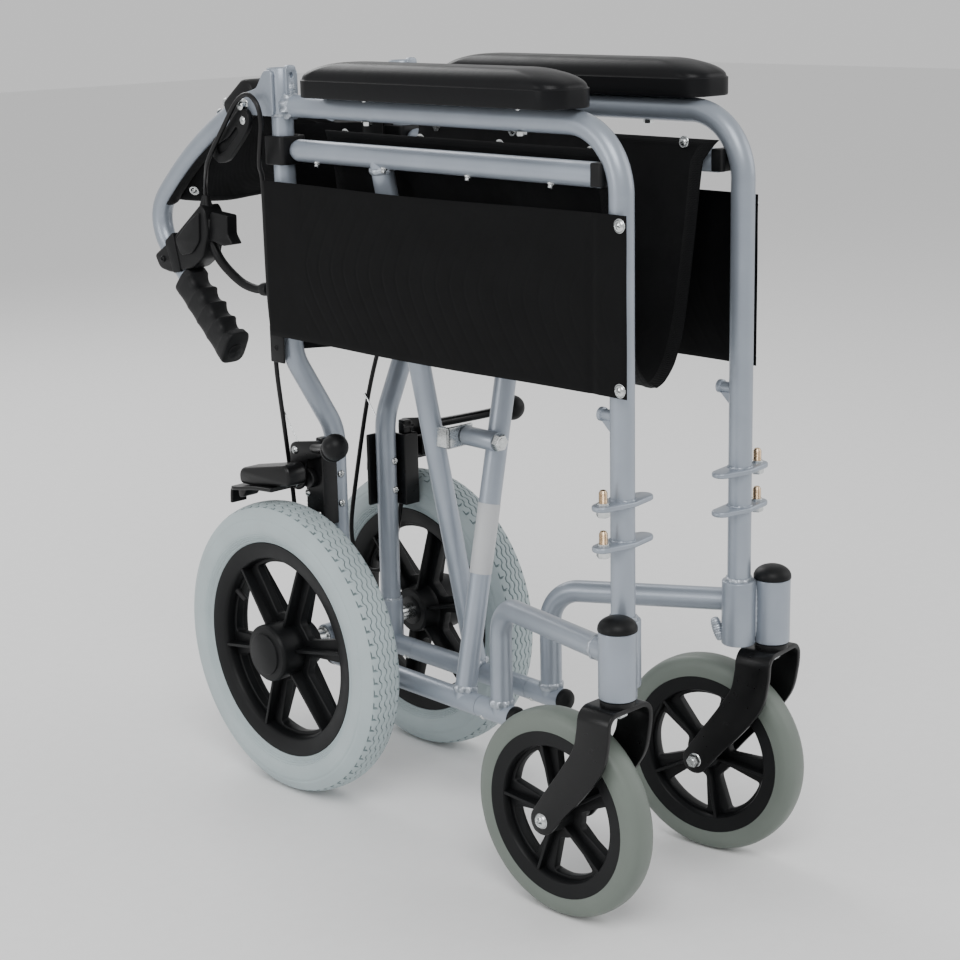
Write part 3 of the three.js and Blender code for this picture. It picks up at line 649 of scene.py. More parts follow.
def rear_frame(side):
    make = on_side(side, "frame")
    post = tube([(*REAR_POST, 722), (*REAR_POST, 472), (*REAR_FOOT, 388), (*REAR_FOOT, LOWER_Z)],
                bend=60, sides=36)
    make("rear_tube", post, PAINT, "rear_post")
    rim = [(11.4, 0), (13.6, 0), (14, 0.6), (14, 44.2), (13.4, 45), (12, 45), (11.3, 44.2), (11.2, 12),
           (11.2, 6)]
    make("handle_socket", turned(rim, (*REAR_POST, 719), Z, 36), PAINT)
    # Painted shade: a dark disc inside the socket stands in for the shadow down its hollow.
    make("socket_floor", pin((11.5, 3), (*REAR_POST, 727), Z, 24), HOLE_SHADE)
    tab = rounded([(POST_X - 6.5, ARM_Z + 8), (POST_X + 6.5, ARM_Z + 8), (POST_X + 6.5, 767),
                   (POST_X - 6.5, 767)], 5)
    standing = Matrix(((1, 0, 0, 0), (0, 0, -1, 181.5), (0, 1, 0, 0), (0, 0, 0, 1)))
    make("socket_tab", moved(cut_sheet([tab, circle(2.6, (POST_X, 757), 20)], 5, 0.8), standing), PAINT)
    cheek = rounded([(190, 762), (203, 762), (216, 744), (247, 736), (250, 726), (243, 717), (190, 717)], 5)
    for name, x in (("outer", 15.1), ("inner", -15.1)):
        make(f"hinge_cheek_{name}", plate(cheek, POST_X + x - 1.7, POST_X + x + 1.7, 0.9), PAINT)
    make("hinge_bolt", merged(dome((POST_X + 16.5, *HINGE), X, 6, 3.2),
                              hexagon((POST_X - 16.5, *HINGE), -X, 10, 4),
                              pin((3.6, 34), (POST_X - 17, *HINGE), X, 16)), ZINC)
    boss = turned([(0, 0), (12, 0), (13, 1), (13, 27), (12, 28), (0, 28)], (24, *AXLE), X, 32)
    sleeve = turned([(0, 0), (TUBE + 1.5, 0), (TUBE + 2, 1), (TUBE + 2, 45), (TUBE + 1.5, 46), (0, 46)],
                    (*REAR_FOOT, 138), Z, 32)
    make("axle_boss", merged(boss, sleeve), PAINT)
    make("post_welds", merged(weld((*REAR_FOOT, LOWER_Z + 7), Z, 11, 2.4, 5),
                              weld((*REAR_FOOT, 184), Z, 11.4, 1.5, 6),
                              weld((*REAR_POST, 718.6), Z, 11.4, 1.8, 7)), WELD)
    make("axle", merged(tube([(16, *AXLE), (110, *AXLE)], 6, sides=20), hexagon((24, *AXLE), -X, 17, 8, 2),
                        pin((11, 1.6), (52.1, *AXLE), X)), ZINC, "rear_axle")
    spacer = [(6.2, 0), (8.4, 0), (8.4, 18.5), (6.2, 18.5)]
    make("axle_spacer", turned(spacer, (53.8, *AXLE), X), ZINC)


def pad_outline(dx, dy, z, corner):
    x0, x1, y0, y1 = 62 + dx, 122 - dx, -226 + dy, 127 - dy
    corner = min(corner, (x1 - x0) / 2 - 0.5)
    found = []
    for cx, cy, start in ((x1 - corner, y1 - corner, 0), (x0 + corner, y1 - corner, 90),
                          (x0 + corner, y0 + corner, 180), (x1 - corner, y0 + corner, 270)):
        found += [Vector((*p, z)) for p in arc((cx, cy), corner, start, 90, 10)]
    return found


def arm_pad(side):
    make = on_side(side, "frame")
    loops = [pad_outline(2.2, 2.2, 739, 20), pad_outline(0.6, 0.6, 739.4, 21), pad_outline(0, 0, 741, 22),
             pad_outline(0, 0, 755.4, 22), pad_outline(0.9, 1.2, 756.4, 22), pad_outline(1.1, 1.6, 757.4, 22)]
    for k in range(1, 15):
        a = radians(90 * k / 14)
        inset = 1 - cos(a)
        rise = sin(a)
        loops.append(pad_outline(1.1 + 17 * inset, 1.6 + 58 * inset ** 0.85, 757.4 + 15.4 * rise, 22))
    made = make("arm_pad_skin", rings(loops), PAD, "arm_pad")
    make("pad_screws", merged(*[hexagon((POST_X + 3, y, ARM_Z - TUBE + 0.6), -Z, 9, 4) for y in (-150, 60)],
                              *[pin((5, 15), (POST_X + 3, y, ARM_Z + 2), Z, 16) for y in (-150, 60)]), ZINC)


PANEL_START = {"right": 0, "left": 0.026}


def skirt_point(u, v):
    y, z = -286 + 492 * u, 494 + 158 * v
    swell = 1.2 * sin(pi * u) * sin(pi * v)
    crease = -1.1 * exp(-((y + 246) / 5) ** 2) + 0.8 * rough(y / 90, z / 60, 3)
    edge = 1.0 * sin(7 * u + 1) * (v if v > 0.5 else v - 1) ** 6
    chevron = 46 * (1 - abs(2 * v - 1) ** 1.5)
    phase = (y - chevron) / SEAM_PITCH
    line = abs(phase - round(phase)) * SEAM_PITCH
    lines = 0.3 * exp(-(line / 1.1) ** 2) if 0.06 < v < 0.94 and 0.03 < u < 0.88 else 0
    return (98.3 + 0.0131 * y + swell + crease - lines, y, z + edge)


def skirt(side):
    make = on_side(side, "frame")
    start = PANEL_START[side]
    sheet = cloth(lambda u, v: skirt_point(start + (1 - start) * u, v), 320, 60, 2.2, 2)
    make("skirt_sheet", sheet, PANEL, "side_panel")
    screw_y = -279 + 480 * start
    heads = merged(*[dome((95.8, screw_y, z), X, 5.6, 3.4) for z in (644, 502)],
                   *[pin((6.4, 0.9, 0.3), (95.4, screw_y, z), X) for z in (644, 502)])
    make("skirt_screws", heads, ZINC)
    clip = merged(block((89.5, 98.2), (197, 209), (466.5, 475.2), 1.2),
                  block((96.2, 99), (188, 210), (466.5, 505), 1.2),
                  dome((98.6, 200, 482), X, 3.2, 2))
    make("skirt_clip", clip, PLASTIC)


# ---- castors ----


def fork_rows():
    """The strap's rows up one leg and over to the middle."""
    line = spline([(66, 100, 13.8), (50, 121, 15), (28, 148, 17), (10, 174, 18.4), (4.6, 196, 18.6),
                   (*FORK_TOP, 18.5)], 6)
    rows = []
    first = heading(*line[:2])
    for k in range(8, 0, -1):
        reach = 13.8 * sin(pi / 2 * k / 8)
        place = Vector((FORK_LEG_X, line[0][0], line[0][1])) - first * reach
        across = Vector((0, first.z, -first.y))
        rows.append((place, across, 13.8 * cos(pi / 2 * k / 8), X))
    for i, (y, z, half) in enumerate(line):
        way = heading(*neighbours(line, i))
        rows.append((Vector((FORK_LEG_X, y, z)), Vector((0, way.z, -way.y)), half, X))
    for k in range(1, 9):
        a = radians(90 * k / 8)
        out = X * cos(a) + Z * sin(a)
        rows.append((Vector((FORK_LEG_X - FORK_BEND, *FORK_TOP)) + out * FORK_BEND, Y, 18.5, out))
    return rows


def fork_strap():
    half = fork_rows()
    flip = Vector((-1, 1, 1))
    other = [(p * flip, across, w, out * flip) for p, across, w, out in reversed(half)]
    return ribbon(half + other, 5, 1.1)


def windows(count, phase, inner, outer, half_spoke, corner, flare=1.0):
    """The holes between spokes, as outlines in the plane (forward, up)."""
    found = []
    for k in range(count):
        low = 2 * pi * (k + 0.5) / count
        opening = pi / count
        ends = []
        for r, sign in ((outer, -1), (outer, 1), (inner, 1), (inner, -1)):
            lean = opening - asin(min(0.95, half_spoke * (flare if r == outer else 1) / r))
            ends.append((r, low + sign * lean))
        line = []
        for step in range(9):
            a = ends[0][1] + (ends[1][1] - ends[0][1]) * step / 8
            line.append((outer * sin(a + phase), outer * cos(a + phase)))
        for step in range(3):
            a = ends[2][1] + (ends[3][1] - ends[2][1]) * step / 2
            line.append((inner * sin(a + phase), inner * cos(a + phase)))
        found.append(rounded(line, corner, 3))
    return found


def rib(angle, inner, outer, thick, deep_in, deep_out):
    """A spoke's middle rib, deeper at the hub."""
    turn = Matrix.Rotation(-angle, 4, "X")
    outline = [(-deep_in, inner), (deep_in, inner), (deep_out, outer), (-deep_out, outer)]
    flat = cut_sheet([outline], thick, 0.7)
    stand = Matrix(((1, 0, 0, 0), (0, 0, 1, 0), (0, 1, 0, 0), (0, 0, 0, 1)))
    return moved(flat, turn @ stand)


def ring_of(profile, segments=72):
    """A closed profile of (radius, along X) turned about the X axis."""
    loops = [[Vector((h, r * sin(a), r * cos(a)))
              for a in turns(segments)] for r, h in profile]
    return rings(loops, closed=True)


def mirrored(half, inner=()):
    """A wheel's section from its half on the -X side. Inner points close it on the axle's side."""
    def other(points):
        return [(r, -x) for r, x in reversed(points) if x]
    return [*half, *other(half), *other(inner), *inner]


def castor(side):
    turn = Matrix.Translation((MIRROR[side] * BARREL[0], BARREL[1], 0))
    turn = turn @ Matrix.Rotation(radians(STEER[side]), 4, "Z")
    fork = on_side(side, "castor_fork")
    wheel = on_side(side, "castor_wheel")
    fork("fork_strap", fork_strap(), STEEL, "castor_fork", matrix=turn)
    stem = merged(turned([(0, 0), (16, 0), (16.2, 0.8), (16.2, 4.4), (15, 5.2), (0, 5.2)], (0, 0, 222), Z),
                  pin((6.5, 60), (0, 0, 215), Z, 20))
    fork("stem_collar", stem, PLASTIC, matrix=turn)
    fork("stem_nut", hexagon((0, 0, 217), -Z, 15, 7, 1), ZINC, matrix=turn)
    bolt = merged(tube([(-33, *CASTOR), (33, *CASTOR)], 3.9, sides=16),
                  dome((31.2, *CASTOR), X, 6.8, 4.6),
                  hexagon((-31, *CASTOR), -X, 12, 6, 1.5),
                  pin((7.4, 1.2), (31, *CASTOR), X),
                  pin((7.2, 1), (-30.9, *CASTOR), -X))
    fork("castor_bolt", bolt, ZINC, "castor_axle", matrix=turn)

    hub = turn @ Matrix.Translation((0, *CASTOR))
    phase = radians(CASTOR_SPOKES[side])
    holes = windows(5, phase, 25, 61, 7.5, 5, 1.7)
    web = plate([circle(68.5, sides=60), circle(4.6, sides=16), *holes], -4.5, 4.5, 1.2)
    ribs = [rib(phase + 2 * pi * k / 5, 12, 66, 3.2, 13, 12) for k in range(5)]
    rim = ring_of(mirrored([(66.5, -12.5), (76, -13.8), (80, -14.2), (80.6, -12.5)],
                           [(64.2, -5), (65.2, -11)]))
    core = ring_of(mirrored([(4.5, -23.5), (12, -23.5), (13, -22.5), (15, -8), (17, -4)]), 40)
    wheel("castor_spokes", merged(web, rim, core, *ribs), SATIN, "castor_wheel", matrix=hub)
    tyre = mirrored([(80.2, -14), (84, -14.8), (90, -15), (95, -13.6), (98.3, -10.2), (99.6, -6), (100, 0)])
    wheel("castor_tread", ring_of(tyre, 96), SOLID_TYRE, "castor_tyre", matrix=hub)


# ---- rear wheels ----


def crown(x):
    """The tyre's radius at a distance from its middle plane."""
    return 150.6 + 7.4 * sqrt(max(0, 1 - (x / 19.4) ** 2))


def tread():
    """The tyre's skin: wavy grooves round the crown, and stepped notches on its shoulders."""
    around = 720
    bead = [(116.8, -17.5), (118.5, -19.5), (119.3, -19.2), (120.4, -20.9), (121.2, -20.5), (122.4, -22.1),
            (123.2, -21.7), (124.6, -23.2), (125.4, -22.9), (127, -24.2), (132, -24.9), (138, -25),
            (141.4, -24.3), (142.2, -23.6), (143.4, -23.7), (145.6, -22.7), (148, -21)]
    half = [18.6, 17.1, 16.7, 16.3, 15.9, 15.5, 14.6, 13.7, 12.9, 12.4, 11.2, 10.5, 10, 9.5, 9, 8.5, 7.6,
            6.3, 5, 4.2, 3.7, 3.2, 2.7, 2.2, 1.2]
    grooves = (-9.5, -3.2, 3.2, 9.5)
    loops = []
    for k, a in enumerate(turns(around)):
        wave = 1.5 * max(-0.8, min(0.8, 1.3 * sin(2 * pi * k / 10)))
        loop = list(bead)
        for x in [-h for h in half] + [0] + half[::-1]:
            at = x + (wave if abs(x) < 13 else 0)
            depth = 1.9 * exp(-(min(abs(x - g) for g in grooves) / 0.5) ** 2)
            step = k % 10
            if 12.6 < abs(x) < 16.8 and (step == 0 or abs(x) > 16 and step < 5):
                depth += 1.3
            loop.append((crown(at) - depth, at))
        loop += [(r, -x) for r, x in reversed(bead)]
        loops.append([Vector((x, r * sin(a), r * cos(a))) for r, x in loop])
    return rings(loops, closed=True)


def shade_grooves(tyre, hub):
    """Painted shade: the tread's hollows get a darker grey, for the shadow and dust in them."""
    tyre.data.materials.append(GROOVE_SHADE)
    centre = ORIGIN + hub.translation * MM
    for face in tyre.data.polygons:
        x, y, z = (face.center - centre) / MM
        if abs(x) < 18.4 and crown(x) - hypot(y, z) > 0.42:
            face.material_index = 1


def rear_wheel(side):
    make = on_side(side, "rear_wheel")
    hub = Matrix.Translation((MIRROR[side] * WHEEL_X, *AXLE))
    phase = radians(WHEEL_SPOKES[side])
    holes = windows(6, phase, 37, 93, 8.5, 8, 1.5)
    web = plate([circle(101, sides=72), circle(6.8, sides=20), *holes], -5, 5, 1.3)
    ribs = [rib(phase + 2 * pi * k / 6, 24, 99, 3.4, 19, 15.5) for k in range(6)]
    rim = ring_of(mirrored([(99, -15), (101, -16.8), (114, -18), (116.3, -18.3), (116.8, -17)],
                           [(96.4, -5), (97.5, -12)]), 96)
    core = ring_of([(6.8, -22.7), (23, -22.7), (25, -21), (27, -8), (29.5, -5), (29.5, 10), (30, 14),
                    (30.8, 30), (30.4, 33.5), (28.6, 35.4), (24, 36), (22.6, 36.4), (22.2, 38.2),
                    (21.2, 38.8), (0.05, 39), (0.05, 20), (6.8, 18)], 48)
    make("wheel_spokes", merged(web, rim, core, *ribs), SATIN, "rear_wheel", matrix=hub)
    shade_grooves(make("wheel_tread", tread(), TYRE, "rear_tyre", matrix=hub), hub)
    ring = [(8.6, -23.4), (15, -23.6), (16, -23.1), (16, -22.4), (8.6, -22.4)]
    make("hub_ring", ring_of(ring, 40), STEEL, matrix=hub)
    valve = turned([(0, 0), (3.2, 0), (3, 16), (2.2, 18), (0, 18)], (0, 0, 0), Z, 14)
    lean = Matrix.Rotation(-phase - radians(22), 4, "X") @ Matrix.Translation((6, 0, 98))
    make("valve_stem", moved(moved(valve, Matrix.Rotation(pi, 4, "X")), lean), PLASTIC, matrix=hub)


# ---- parking brake ----

BRAKE_PIN = (190, 340)


def wheel_brake(side):
    make = on_side(side, "frame")
    high = (290, 369)
    channel = merged(block((20, 50.5), (200.8, 204.8), high, 1.5), block((47, 50.4), (172, 205.2), high, 1.3),
                     block((47, 67), (172, 175.6), high, 1.4), block((63.6, 67), (172, 201), high, 1.3))
    make("brake_channel", channel, STEEL, "wheel_brake")
    make("brake_guard", merged(block((52, 62.5), (177, 188), (346, 383), 1.5),
                               pin((4.2, 15), (51, 181, 376), X, 18)), STEEL)
    screws = [dome((67, 196, 362), X, 3.8, 2.6), dome((67, 198, 322), X, 3.8, 2.6),
              dome((67, 180, 302), X, 3.2, 2)]
    for z in (340.5, 308.5):
        screws.append(dome((LOWER_X + 2.5, REAR_FOOT[1] - TUBE + 0.6, z), -Y, 4.2, 3))
        screws.append(hexagon((LOWER_X, 204.8, z), Y, 8, 3.4, 1))
    make("brake_screws", merged(*screws), ZINC)
    coil = [(57 + 4 * cos(a), 206 + 4 * sin(a), 291 + 22 * k / 48)
            for k, a in ((k, 2 * pi * k / 8) for k in range(49))]
    make("return_spring", through(coil, 0.7, 3, 8), ZINC)
    wire = [(57, 204, 345), (57, 216, 362), (57, 231, 380), (57, 246, 400)]
    make("inner_wire", merged(through(wire, 0.7, 6, 8),
                              pin((1.5, 7), (57, 244.6, 397.5), (0, 0.6, 0.8), 12)), ZINC)

    lever = on_side(side, "brake_lever")
    bracket = rounded([(213, 327), (213, 373), (207, 378), (166, 385), (161, 381), (163, 368), (187, 361),
                       (191, 333), (200, 326)], 6)
    arm = through([(75, 174, 376), (82, 156, 379), (100, 118, 389), (117, 90, 397)],
                  lambda t: 5.2 - 0.5 * t, 8, 18)
    eye = turned([(0, 0), (9.6, 0), (10.2, 0.8), (10.2, 5.6), (9.4, 6.4), (0, 6.4)],
                 (67.5, *BRAKE_PIN), X)
    lever("brake_handle", merged(arm, eye, plate(bracket, 73.6, 77.2, 1),
                                 pin((4, 16), (52, *BRAKE_PIN), X, 16)), STEEL, "brake_lever")
    pins = [dome((77.2, y, z), X, 4.4, 2.8) for y, z in ((204, 369.6), (205, 334), (170, 376))]
    lever("toggle_pins", merged(*pins), ZINC)
    way = Vector((44, -98, 54)).normalized()
    knob_at = Vector((122, 81, 400))
    profile = [(0, -16), (6.5, -15.5), (11.5, -15), (12.3, -14), (12.3, -11.5), (11, -10.8),
               *arc((0, 0), 13.5, -50, 140, 16)[:-1], (0, 13.5)]
    lever("brake_knob", turned(profile, knob_at, way, 32), SATIN)

    shoe = on_side(side, "brake_shoe")
    smooth = spline([(203, 332), (232, 329.5), (258, 325), (275, 322.5), (281.5, 318), (283, 304)], 5)
    rows = []
    for i, (y, z) in enumerate(smooth):
        way = heading(*neighbours(smooth, i))
        share = i / (len(smooth) - 1)
        half = 17 - 7 * min(1, max(0, share - 0.55) / 0.12)
        rows.append((Vector((96, y, z)), X, half, Vector((0, -way.z, way.y))))
    pad = rounded([(181, 338), (180, 353), (187, 361), (222, 354), (262, 346), (267, 340), (266, 328),
                   (240, 329)], 6)
    lug = rounded([(252, 327), (270, 324), (268, 312), (260, 314)], 3)
    body = merged(ribbon(rows, 4, 1.2), plate(pad, 80.5, 106, 3.4), plate(lug, 86, 106, 1.4),
                  block((51.4, 62.4), (184, 222), (328.6, 341.4), 1.2),
                  block((51.4, 92), (215.4, 222), (327, 338), 1.2))
    shoe("shoe_plate", body, STEEL, "brake_shoe")


# ---- folding back ----


def along(line, points):
    """Points given along and across a line in the YZ plane."""
    (y0, z0), (y1, z1) = line
    length = hypot(y1 - y0, z1 - z0)
    dy, dz = (y1 - y0) / length, (z1 - z0) / length
    return [(y0 + s * dy + n * dz, z0 + s * dz - n * dy) for s, n in points]


def on_back_tube(t):
    """The folded tube's axis from the hinge, 0, to the knee, 1. It bows slightly."""
    past_clamp = max(0, t - 0.15) / 0.85
    (y, z), = along(BACK_LINE, [(218.3 * t, -BACK_BOW * sin(pi * past_clamp))])
    return y, z


def back_frame(side):
    make = on_side(side, "back")
    bowed = [on_back_tube(t / 14) for t in range(13)] + [(410, 619.5), (417, 606), (418, 592), (413.5, 577.5)]
    straight = [(404 - 101 * t / 4, 565 - 93.6 * t / 4) for t in range(5)]
    make("folding_tube", through([(POST_X, *p) for p in bowed + straight], TUBE, 4, 36), PAINT, "back_tube")
    clamp = rounded([(-14, 4), (-13, -6), (-6, -11.9), (37, -11.9), (40, 12), (12, 18), (-3, 21),
                     (-10, 14)], 6)
    make("hinge_clamp", plate(along(BACK_LINE, clamp), POST_X - 13, POST_X + 13, 3.2), PLASTIC)
    base = along(BACK_LINE, [(44, -TUBE - 3.2), (60, -TUBE - 4.9)])
    screws = [hexagon((POST_X, *base[0]), BACK_UP, 8.5, 4.5, 2), dome((POST_X, *base[1]), BACK_UP, 3.8, 2.6)]
    make("clamp_screws", merged(*screws), ZINC)

    line = ((412, 571), (296, 465))
    reach, hollows, steps = 105, 4, 96
    loops = []
    for i in range(steps + 1):
        s = reach * i / steps
        share = (s - 9) / (reach - 20)
        hollow = 5.4 * sin(pi * ((share * hollows) % 1)) ** 0.8 if 0 < share < 1 else 0
        end = min(1, s / 2.5, (reach - s) / 3)
        shrink = 2.6 * (1 - sqrt(max(0.0, 1 - (1 - end) ** 2)))
        low, high = -17.5, 18.5 - hollow + 3 * max(0, (s - 94) / 11)
        half = 15.6 - 0.3 * hollow
        mid, tall = (low + high) / 2, (high - low) / 2
        loop = []
        for a in turns(36):
            c, d = cos(a), sin(a)
            px = abs(c) ** 0.55 * copysign(half - shrink, c)
            pn = mid + abs(d) ** 0.55 * copysign(tall - shrink, d)
            (y, z), = along(line, [(52 + s - 0.25 * pn * max(0, (s - 80) / 25), pn)])
            loop.append(Vector((POST_X + px, y, z)))
        loops.append(loop)
    make("grip_sleeve", rings(loops), GRIP, "hand_grip")
    end = along(line, [(52 + reach + 0.6, -2)])[0]
    way = heading(*line)
    way = Vector((0, way.y + 0.25 * way.z, way.z - 0.25 * way.y))
    cap = [(0, -1), (8, -1), (9, -0.6), (9, 0.9), (8, 1.3), (0, 1.3)]
    make("grip_end", turned(cap, (POST_X, *end), way), PLASTIC)

    body = rounded([(323, 612), (330, 620), (346, 608), (384, 580), (421, 558), (412, 544), (392, 541),
                    (352, 549), (331, 562), (320, 590)], 5)
    ribs = plate(rounded([(330, 612), (352, 598), (376, 578), (366, 562), (346, 566), (332, 580)], 5),
                 POST_X + 10, POST_X + 15, 1.6)
    cone = turned([(0, -6), (10.5, -6), (9.6, 2), (5.6, 16), (3.8, 22), (0, 22)],
                  (POST_X + 1.2, 334, 606), (0, -0.5, 20), 24)
    make("brake_clamp", merged(plate(body, POST_X - 13, POST_X + 12, 2.6), ribs, cone), PLASTIC,
         "hand_brake_body")
    tab = rounded([(290, 610), (318, 612), (326, 600), (326, 582), (300, 577), (283, 580), (291, 590)], 2.5)
    make("lock_tab", merged(plate(tab, POST_X - 7, POST_X + 7, 1.6),
                            plate(rounded([(318, 604), (334, 606), (336, 588), (322, 586)], 3),
                                  POST_X - 9, POST_X + 9, 1.6)), PLASTIC)
    make("clamp_band", merged(plate(rounded([(382, 586), (398, 575), (385, 541), (371, 544)], 3),
                                    POST_X - 14.4, POST_X + 13.4, 1.2),
                              dome((POST_X + 12.4, 404, 555), X, 3.6, 2.4)), SATIN)

    lever = on_side(side, "hand_brake_lever")
    curve = [(329, 589), (325, 574), (314, 560), (296, 548), (276, 539), (256, 535.5), (240, 536)]
    arm = through([(POST_X, *p) for p in curve], lambda t: 5.4 - 1.0 * t, 8, 20)
    tip = turned([(0, -6), (4, -5.6), (6.6, -4.4), (7.1, -2), (7.1, 4), (6.4, 5.6), (4, 6.6), (0, 7)],
                 (POST_X, 238, 536.6), (0, -1, 0.1), 24)
    pivot = pin((2.6, 24), (POST_X - 12.8, 328, 588), X, 14)
    lever("lever_arm", merged(arm, tip, pivot), PLASTIC, "hand_brake_lever")


def release(side):
    make = on_side(side, "back_release")
    outline = rounded([(226, 723), (221, 712), (226, 702), (240, 688), (262, 669), (278, 666), (290, 675),
                       (287, 690), (263, 703), (246, 718), (237, 724)], 6)
    inner = rounded([(240, 700), (264, 680), (277, 675), (281, 680), (279, 685), (258, 694), (244, 706)], 4)
    make("release_paddle", merged(plate([outline, inner], 98, 103.4, 1.1), plate(outline, 97.6, 100.6, 1.0)),
         PLASTIC, "back_release")
    screws = merged(dome((103.4, 235, 727), X, 5, 1.9), dome((103.4, 232, 712), X, 4.4, 1.9),
                    pin((3.3, 6), (97.8, 232, 712), X, 16), pin((3.3, 6), (97.8, 235, 727), X, 16))
    make("release_screws", screws, ZINC)


# The points that the brake cables follow.
CABLE_OVER_HINGE = [(82, 333, 627.4), (87, 325, 640), (99, 306, 654), (107.5, 288, 671), (108, 258, 706),
                    (108, 236, 730), (108, 217, 738.5), (107, 203, 730), (105.5, 199, 712), (104.5, 203, 692),
                    (100, 212, 668), (93, 217, 645), (92, 217, 540)]
CABLE_DOWN = {
    "right": [(90, 214, 480), (88, 214, 446), (75, 223, 388), (57, 236, 304), (53, 243, 262), (52, 240, 230),
              (53, 224, 212), (56, 207, 224), (58, 200, 252)],
    "left": [(85, 224, 500), (74, 234, 468), (60, 244, 406), (52, 260, 314), (47, 268, 248), (48, 260, 216),
             (51, 240, 202), (55, 218, 212), (58, 204, 246)],
}
CABLE_END = (60, 196, 286)
CABLE_WIDTH = 5


def brake_cable(side):
    """One sheath from the hand brake over the hinge to the wheel brake."""
    route = [*CABLE_OVER_HINGE, *CABLE_DOWN[side], CABLE_END]
    made = build(f"cable_sheath_{side}", through(route, CABLE_WIDTH / 2, 6, 14), CABLE, side)
    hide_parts(f"brake_cable_{side}")
    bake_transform(made)


# ---- cross brace and seat ----


def cross_bar(letter, lean, y):
    """One bar, from its foot's pivot tube to the seat rail on the other side."""
    foot = -lean * LOWER_X
    rail_side = "left" if lean > 0 else "right"
    body = f"brace_{letter}"
    bar = tube([(foot, y, LOWER_Z), (lean * RAIL_X, y, RAIL_Z)], sides=36)
    pivot = tube([(foot, -29.4, LOWER_Z), (foot, 146.6, LOWER_Z)], sides=36)
    piece(f"cross_tube_{letter}", merged(bar, pivot), PAINT, body, f"cross_bar_{letter}")
    way = Vector((lean * (RAIL_X + LOWER_X), 0, RAIL_Z - LOWER_Z)).normalized()
    low = Vector((foot, y, LOWER_Z)) + way * 12
    high = Vector((lean * RAIL_X, y, RAIL_Z)) - way * 12
    piece(f"cross_welds_{letter}", merged(weld(low, way, 10.8, 2.6, y), weld(high, way, 10.8, 2.4, y + 9)),
          WELD, body)
    rail = tube([(RAIL_X, -240.6, RAIL_Z), (RAIL_X, 172, RAIL_Z)], sides=36)
    end = turned([(0, -4), (TUBE, -4), (TUBE, 0), (10.6, 3), (9, 6.4), (6, 9), (2.6, 10.2), (0, 10.4)],
                 (RAIL_X, 172, RAIL_Z), Y, 36)
    piece(f"rail_tube_{rail_side}", merged(rail, end), PAINT, body, f"seat_rail_{rail_side}", rail_side)
    screws = []
    out = Vector((0.35, 0, -0.94))
    for at in (Vector((RAIL_X, y, RAIL_Z)) for y in (141, 40, -78, -185)):
        screws.append(dome(at + out * (TUBE - 0.3), out, 3.6, 2.8))
        screws.append(pin((2.4, 5.4), at + out * (TUBE - 1), out, 12))
    piece(f"rail_screws_{rail_side}", merged(*screws), ZINC, body, side=rail_side)
    return way


def cross_brace():
    way = cross_bar("a", 1, -4)
    cross_bar("b", -1, 50)
    boss = turned([(5.9, 0), (9.2, 0), (9.8, 0.8), (9.8, 44.6), (9.2, 45.4), (5.9, 45.4)],
                  (0, -23.6, PIVOT_Z), Y)
    piece("pivot_sleeve", boss, PAINT, "brace_a")
    piece("pivot_hex_bolt", merged(hexagon((0, -24.4, PIVOT_Z), -Y, 16, 6.4, 0.4),
                                   pin((5.2, 60), (0, -26, PIVOT_Z), Y, 20),
                                   pin((10.4, 1.8), (0, 28, PIVOT_Z), Y),
                                   hexagon((0, 28.2, PIVOT_Z), Y, 15, 6, 1)), ZINC, "brace_a", "pivot_bolt")
    bracket = merged(block((-24, 11), (22.8, 27.2), (PIVOT_Z - 11, PIVOT_Z + 11), 1.4),
                     block((-24, -19), (22.8, 46), (PIVOT_Z - 11, PIVOT_Z + 11), 1.4))
    piece("pivot_bracket", bracket, ZINC, "brace_b")
    wrap = []
    middle_of_label = Vector((-LOWER_X, -4, LOWER_Z)) + way * 168
    beside = Y.cross(way)
    for k in range(27):
        a = radians(-230 + 190 * k / 26)
        out = cos(a) * beside + sin(a) * Y
        wrap.append([middle_of_label + way * s + out * (TUBE + r)
                     for s, r in ((-36, 0.1), (-35.6, 0.32), (35.6, 0.32), (36, 0.1))])
    piece("blank_label", rings(wrap), LABEL, "brace_a")


def guides(side):
    make = on_side(side, "guides")
    outer = rounded([(62.8, 180.2), (95.4, 180.2), (95.4, 211), (62.8, 211)], 6, 6)
    hole = circle(13.4, (79.1, REAR_Y), 36)
    make("guide_block", slab([outer, hole], RAIL_Z - 14.4, RAIL_Z + 14.4, 1.4), PLASTIC, "ring_guide")
    saddle = rounded([(66, -253.4), (66, -241), (92, -241), (92, -253.4), (88.5, -254.8), (83.8, -253.6),
                      (79.1, -253), (74.4, -253.6), (69.7, -254.8)], 2)
    plug = pin((8.9, 12), (RAIL_X, -242, RAIL_Z), Y)
    make("guide_saddle", merged(slab(saddle, RAIL_Z - 9, RAIL_Z + 11.5, 1.2), plug), PLASTIC, "saddle_guide")


def mixed(a, b, t):
    return tuple(p * (1 - t) + q * t for p, q in zip(a, b))


WIDE = spline([(63, 703), (61.5, 685), (57.5, 660), (51.5, 627), (45, 594), (38.8, 560), (32.5, 528),
               (24, 505), (12.5, 490), (0, 484)], 6)
PINCHED = spline([(63, 703), (59, 684), (51, 658), (45, 622), (40, 584), (34, 546), (25.5, 514), (13, 494),
                  (0, 487.4)], 6)


def at_share(line, u):
    at = u * (len(line) - 1)
    i = min(int(at), len(line) - 2)
    return mixed(line[i], line[i + 1], at - i)


